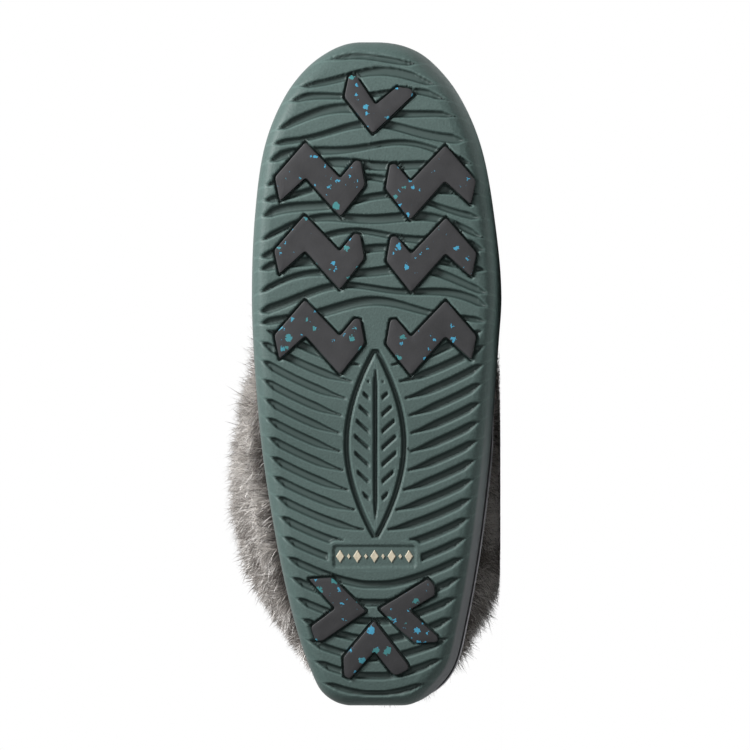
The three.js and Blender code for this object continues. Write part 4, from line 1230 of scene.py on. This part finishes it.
class BOOT_OT_collar(BootOperator):
    """Builds the binding: a rounded profile carried round the rim, flat underneath, rolled over the top."""

    bl_idname = "boot.collar"
    bl_label = "Collar binding"

    POWER = 0.75
    PUCKERS = 58
    HALF_WIDTH = 2.6
    HALF_HEIGHT = 2.5

    def build(self):
        upper = settings("upper")
        turn = turns(260)
        rings = []
        for angle in turns(18) * 2 * math.pi:
            side, up = (math.copysign(abs(at) ** self.POWER, at) for at in (math.cos(angle), math.sin(angle)))
            pucker = 0.12 * np.sin(turn * 2 * math.pi * self.PUCKERS) * max(side, 0)
            ring = off_upper(turn, COLLAR_LEVEL, self.HALF_WIDTH * (side - 0.5) + pucker)
            ring[:, 2] = COLLAR_HEIGHT + GAP + self.HALF_HEIGHT * (1 + up)
            rings.append(ring)
        material = suede("binding_suede", upper.binding_colour, upper.nap)
        ring_piece("collar_binding", rings, material, "binding", "collar", ends=False)


class BOOT_OT_lining(BootOperator):
    """Builds the fleece lining: a shell inside the wall, from the insole to below the collar, whose face
    heaves by smooth noise."""

    bl_idname = "boot.lining"
    bl_label = "Lining"

    GIRTH_INSIDE = 420.0
    LOW = 0.55
    HIGH = 10.95

    def build(self):
        turn = turns(240)[None]
        level = np.linspace(self.LOW, self.HIGH, 90)[:, None]
        u, v = turn * self.GIRTH_INSIDE, upper_at(turn, level)[..., 2]
        heave = 0.55 * waves(u, v, 5, 9) + 0.3 * waves(u, v, 6, 3.6)
        edge = smoothstep(level, 0.5, 0.9) * (1 - smoothstep(level, 10.75, self.HIGH))
        face = off_upper(turn, level, -(WALL + 0.3 + (1.6 + heave) * edge))
        back = off_upper(turn, np.linspace(self.HIGH, self.LOW, 14)[:, None], -(WALL + 0.1))
        material = fleece("fleece", settings("upper").fleece_colour)
        ring_piece("lining_fleece", np.concatenate([back[::-1], face[::-1]]), material, "fleece", ends=False)


class BOOT_OT_insole(BootOperator):
    """Builds the insole: rings that shrink towards its middle, dished at the heel, over a flat bottom."""

    bl_idname = "boot.insole"
    bl_label = "Insole"

    def build(self):
        edge = off_upper(turns(300), 0.0, -(WALL + 2 * GAP))
        centre = np.column_stack([np.zeros(len(edge)), lerp(45, 225, edge[:, 1] / SOLE_LENGTH)])
        low, top = FEATHER_HEIGHT, FEATHER_HEIGHT + INSOLE_THICKNESS
        profile = [(0.5, low), (0.02, low), (0.0, low + 1.2), (0.0, top - 1.4), (0.012, top - 0.5)]
        for share in np.linspace(0.035, 1, 36):
            heave = 0.25 * waves(edge[:, 0] * (1 - share), edge[:, 1] + 40 * share, 9, 8)
            heave *= smoothstep(share, 0.03, 0.2) * (1 - smoothstep(share, 0.8, 1))
            dish = 0.8 * smoothstep(90 - edge[:, 1], 0, 60) * smoothstep(share, 0.2, 0.8)
            profile.append((share, top - 0.1 + heave - dish * (1 - smoothstep(share, 0.9, 1))))
        rings = []
        for share, height in profile:
            flat = lerp(edge[:, :2], centre, share)
            rings.append(np.column_stack([flat, height + spring(flat[:, 1])]))
        material = fleece("insole_pile", settings("upper").fleece_colour)
        ring_piece("insole_fleece", rings, material, "fleece", "insole")


def fur_edge_height(way):
    """The fur's lower edge, a smooth step from its height at the back to that at the front."""
    return lerp(FUR_EDGE["back"], FUR_EDGE["front"], smoothstep(way, 0.05, 0.95))


def fur_level(turn, share):
    """The upper's level at a share of the fur's height, from its lower edge to the collar."""
    return level_at_height(lerp(fur_edge_height(way_of(turn)), COLLAR_HEIGHT, share))


def fur_depth(turn):
    """How deep the fur is round the boot, as a share of its full depth: it lies flatter behind the heel."""
    return lerp(FUR_BACK["share"], 1, smoothstep(way_of(turn), 0, FUR_BACK["reach"]))


def above_floor(points, least):
    """Points with none below a height over the floor: hair and pelt lie flat where the boot rests."""
    points = points.copy()
    points[..., 2] = np.maximum(points[..., 2], least)
    return points


class BOOT_OT_pelt(BootOperator):
    """Builds the underfur: a sleeve rounded at both ends, its face heaved by smooth noise."""

    bl_idname = "boot.pelt"
    bl_label = "Fur pelt"

    FLOOR = 0.0006

    def build(self):
        turn = turns(270)[None]
        share = np.linspace(0, 1, 64)[:, None]
        level = fur_level(turn, share)
        u, v = turn * GIRTH, upper_at(turn, level)[..., 2]
        ends = np.sqrt(np.clip(1 - (2 * np.abs(share - 0.5)) ** 14, 0, 1))
        heave = 0.9 * waves(u, v, 31, 11) + 0.5 * waves(u, v, 32, 4)
        face = off_upper(turn, level, 0.4 + (5.6 + heave) * ends * fur_depth(turn))
        back = off_upper(turn, fur_level(turn, np.linspace(1, 0, 18)[:, None]), GAP - 0.02)
        points, faces = closed_rings(np.concatenate([face, back]), ends=False)
        points = above_floor(laid_down(points), self.FLOOR)
        boot_piece("fur_pelt", points, faces, fur_pelt(settings("fur")), "fur", "fur")


class BOOT_OT_hair(BootOperator):
    """Grows the fur in bands. A hair is a flat tapered strip of three parts on the curve root + length *
    (start * t + (end - start) * t * t / 2), where start and end are its directions. It leaves the pelt
    outward and bends down to the sole. Smooth noise turns the hairs in tufts and shades them in patches."""

    bl_idname = "boot.hair"
    bl_label = "Fur hair"

    # Bands: shares of the fur's height, the hairs' length, how far they lean out and how far they hang
    BANDS = table("name low high long out hang", (
        ("fur_hair_edge", 0.0, 0.1, 1.12, 0.95, 0.8),
        ("fur_hair_low", 0.02, 0.3, 1.0, 1.0, 0.6),
        ("fur_hair_middle", 0.26, 0.62, 0.95, 0.9, 0.7),
        ("fur_hair_high", 0.58, 0.985, 0.85, 0.8, 0.75),
    ))

    def build(self):
        fur = settings("fur")
        material = fur_hair(fur)
        index = np.arange(fur.hairs)[:, None] * 7
        quads = np.concatenate([index + np.array([[0, 1, 3, 2]]), index + np.array([[2, 3, 5, 4]])])
        faces = [quads, index + np.array([[4, 5, 6]])]
        for place, band in enumerate(self.BANDS):
            rng = np.random.default_rng([fur.seed, place])
            points, along, shade = self.strips(rng, fur.hairs, band, fur)
            piece = boot_piece(band["name"], points, faces, material, "fur")
            add_attribute(piece, "along", along)
            add_attribute(piece, "shade", shade)

    def strips(self, rng, count, band, fur):
        """A band's points, how far along its hair each one is, and its hair's shade."""
        turn = rng.random(count)
        share = rng.uniform(band["low"], band["high"], count)
        level = fur_level(turn, share)
        surface, out = upper_at(turn, level), upper_out(turn, level)
        down = unit(upper_at(turn, level - 0.1) - upper_at(turn, level + 0.1))
        around = np.cross(out, down)
        u, v = turn * GIRTH, surface[:, 2]
        seeds = np.arange(8) + 100 + fur.seed
        tuft = waves(u, v, seeds[0], 13)[:, None] * 0.4 + waves(u, v, seeds[1], 3.6)[:, None] * 0.42
        lift = waves(u, v, seeds[2], 17)[:, None] * 0.28 + rng.normal(0, 0.16, (count, 1))
        stray = rng.normal(0, 0.2, (count, 1))
        way = way_of(turn)
        sweep = lerp(0.25, 0.85, smoothstep(way, 0, 0.3)) - 1.15 * smoothstep(way, 0.5, 0.85)
        heelward = np.array([0, -1.0, 0]) * sweep[:, None]
        start = unit(
            out * band["out"] * (1.15 + lift) + down * 0.35 + around * (tuft * 0.7 + stray) + heelward * 0.35
        )
        end = unit(
            out * (0.42 + 0.6 * lift)
            + down * band["hang"] * 1.2
            + around * (tuft * 1.6 + stray * 1.4)
            + heelward
        )
        size = fur.hair_length * 1000 * band["long"] * rng.uniform(0.62, 1.15, (count, 1))
        size *= 1 + 0.16 * waves(u, v, seeds[3], 15)[:, None]
        reach = np.where(turn < 0.5, 0.62, 0.3)
        size *= 1 - 0.66 * (1 - smoothstep(way / reach, 0.0, 1.0))[:, None]
        root = surface + out * rng.uniform(2.0, 5.2, (count, 1)) * fur_depth(turn)[:, None]
        t = np.array([0, 0.36, 0.7, 1.0])[None, :, None]
        line = root[:, None] + size[:, None] * (start[:, None] * t + (end - start)[:, None] * t * t / 2)
        roll = rng.normal(0, 0.6, count)[:, None]
        direction = unit(start + end)
        flat = unit(np.cross(direction, out))
        side = unit(flat * np.cos(roll) + np.cross(direction, flat) * np.sin(roll))
        thick = fur.hair_width * 1000 * rng.uniform(0.6, 1.25, (count, 1, 1))
        half = side[:, None] * thick / 2 * np.array([1.0, 0.82, 0.5])[None, :, None]
        left, right = line[:, :3] - half, line[:, :3] + half
        pairs = np.stack([left, right], axis=2).reshape(count, 6, 3)
        points = laid_down(np.concatenate([pairs, line[:, 3:]], axis=1).reshape(-1, 3))
        least = 0.0004 + 0.0012 * rng.random((count, 1)) * np.ones((1, 7))
        points = above_floor(points, least.ravel())
        patches = 0.5 + 0.28 * waves(u, v * 0.7, seeds[4], 24) + 0.42 * waves(u, v, seeds[5], 3.2)
        patches += 0.1 - 0.32 * (1 - smoothstep(way, 0.28, 0.52)) + 0.14 * (1 - smoothstep(way, 0.05, 0.22))
        shade = np.clip(patches + rng.normal(0, 0.26, count), 0, 1)
        along = np.array([0, 0, 0.36, 0.36, 0.7, 0.7, 1.0])
        return points, np.tile(along, count), np.repeat(shade, 7)


# Stage
class BOOT_OT_stage(BootOperator):
    """Sets the camera square to the tread, a pale table under the boot, surroundings that are white behind
    it and dimmer in front, and a soft light. The camera leans back with the boot and stands so far off that
    it comes down to the table."""

    bl_idname = "boot.stage"
    bl_label = "Stage"

    AIM = (0.4, 138.1, 0.6)
    SENSOR = 36.0
    FRAME_PIXELS = 750
    TABLE = {"front": -0.112, "back": 2.4, "half": 2.4, "height": -0.0002}
    OVER_TABLE = 0.00001

    def build(self):
        stage = settings("stage")
        aim = laid_down(np.array([self.AIM]))[0]
        self.camera(aim, stage)
        self.table()
        self.lights(aim, stage)
        self.surroundings(stage)
        bpy.context.scene.view_settings.view_transform = "Standard"

    def camera(self, aim, stage):
        """The camera's X is the boot's outer side, its Y the boot's way to the toe, and it looks along the
        boot's Z."""
        distance = (aim[2] - self.TABLE["height"] - self.OVER_TABLE) / math.sin(LEAN)
        data = bpy.data.cameras.new("camera")
        data.sensor_width = self.SENSOR
        data.lens = stage.pixels_per_mm * distance * 1000 * self.SENSOR / self.FRAME_PIXELS
        data.clip_end = 20
        camera = bpy.data.objects.new("camera", data)
        right, up, away = -BOOT_AXES[0], BOOT_AXES[1], -BOOT_AXES[2]
        turned = Matrix(np.column_stack([right, up, away]).tolist()).to_4x4()
        camera.matrix_world = Matrix.Translation(Vector(aim + away * distance)) @ turned
        link(camera)
        bpy.context.scene.camera = camera

    def table(self):
        """A pale table whose front edge is just before the tread."""
        shader = Shader("table", (0.72, 0.72, 0.72), 0.9, specular=0.1)
        front, back, half, height = self.TABLE.values()
        sides = ((-half, front), (half, front), (half, back), (-half, back))
        corners = np.array([[x, y, height] for x, y in sides])
        make_piece("table", corners, [np.array([[0, 1, 2, 3]])], shader.material, smooth=False)

    def surroundings(self, stage):
        """The surroundings' strength rises along +Y, from the fill in front of the boot to white behind."""
        world = bpy.data.worlds.new("surroundings")
        bpy.context.scene.world = world
        world.use_nodes = True
        tree = world.node_tree
        kinds = ("ShaderNodeTexCoord", "ShaderNodeSeparateXYZ", "ShaderNodeMapRange")
        way, parts, strength = (tree.nodes.new(kind) for kind in kinds)
        background = tree.nodes["Background"]
        reach = {"From Min": 0.05, "From Max": 0.75, "To Min": stage.fill, "To Max": 1.0}
        for name, value in reach.items():
            strength.inputs[name].default_value = value
        background.inputs["Color"].default_value = (1, 1, 1, 1)
        tree.links.new(way.outputs["Generated"], parts.inputs["Vector"])
        tree.links.new(parts.outputs["Y"], strength.inputs["Value"])
        tree.links.new(strength.outputs["Result"], background.inputs["Strength"])

    def lights(self, aim, stage):
        """A soft light up on the image's left, so low over the tread that the grooves' upper walls throw
        shade, and a weak one from behind the camera that reaches the fur on the right."""
        self.soft_light("key", aim, (0.47, -0.5, 0.73), 0.75, 0.22, stage.key_power)
        self.soft_light("front", aim, (0.0, -1.0, -0.03), 1.6, 0.24, stage.front_power)

    def soft_light(self, name, aim, towards, distance, size, power):
        data = bpy.data.lights.new(name, "AREA")
        data.shape = "SQUARE"
        data.size = size
        data.energy = power
        light = bpy.data.objects.new(name, data)
        towards = Vector(towards).normalized()
        light.location = Vector(aim) + towards * distance
        light.rotation_euler = towards.to_track_quat("Z", "Y").to_euler()
        link(light)


class BOOT_PT_panel(bpy.types.Panel):
    """Lists the boot's pieces."""

    bl_label = "Mukluk boot"
    bl_idname = "BOOT_PT_panel"
    bl_space_type = "VIEW_3D"
    bl_region_type = "UI"
    bl_category = "Boot"

    def draw(self, context):
        for operator in OPERATORS:
            self.layout.operator(operator.bl_idname)
        for name in SETTINGS:
            box = self.layout.box()
            group = getattr(context.scene, name)
            for prop in group.bl_rna.properties:
                if prop.identifier not in ("name", "rna_type"):
                    box.prop(group, prop.identifier)


SETTINGS = {
    "boot_sole": BootSoleSettings,
    "boot_upper": BootUpperSettings,
    "boot_fur": BootFurSettings,
    "boot_stage": BootStageSettings,
}
OPERATORS = (
    BOOT_OT_stage, BOOT_OT_outsole, BOOT_OT_lugs, BOOT_OT_plate_marks, BOOT_OT_midsole, BOOT_OT_upper,
    BOOT_OT_stitches, BOOT_OT_collar, BOOT_OT_lining, BOOT_OT_insole, BOOT_OT_pelt, BOOT_OT_hair,
)


def register():
    for cls in (*SETTINGS.values(), *OPERATORS, BOOT_PT_panel):
        bpy.utils.register_class(cls)
    for name, cls in SETTINGS.items():
        setattr(bpy.types.Scene, name, bpy.props.PointerProperty(type=cls))


def unregister():
    for name in SETTINGS:
        delattr(bpy.types.Scene, name)
    for cls in (BOOT_PT_panel, *reversed(OPERATORS), *reversed(SETTINGS.values())):
        bpy.utils.unregister_class(cls)


def main():
    register()
    for operator in OPERATORS:
        getattr(bpy.ops.boot, operator.bl_idname.split(".")[1])()


if __name__ == "__main__":
    main()
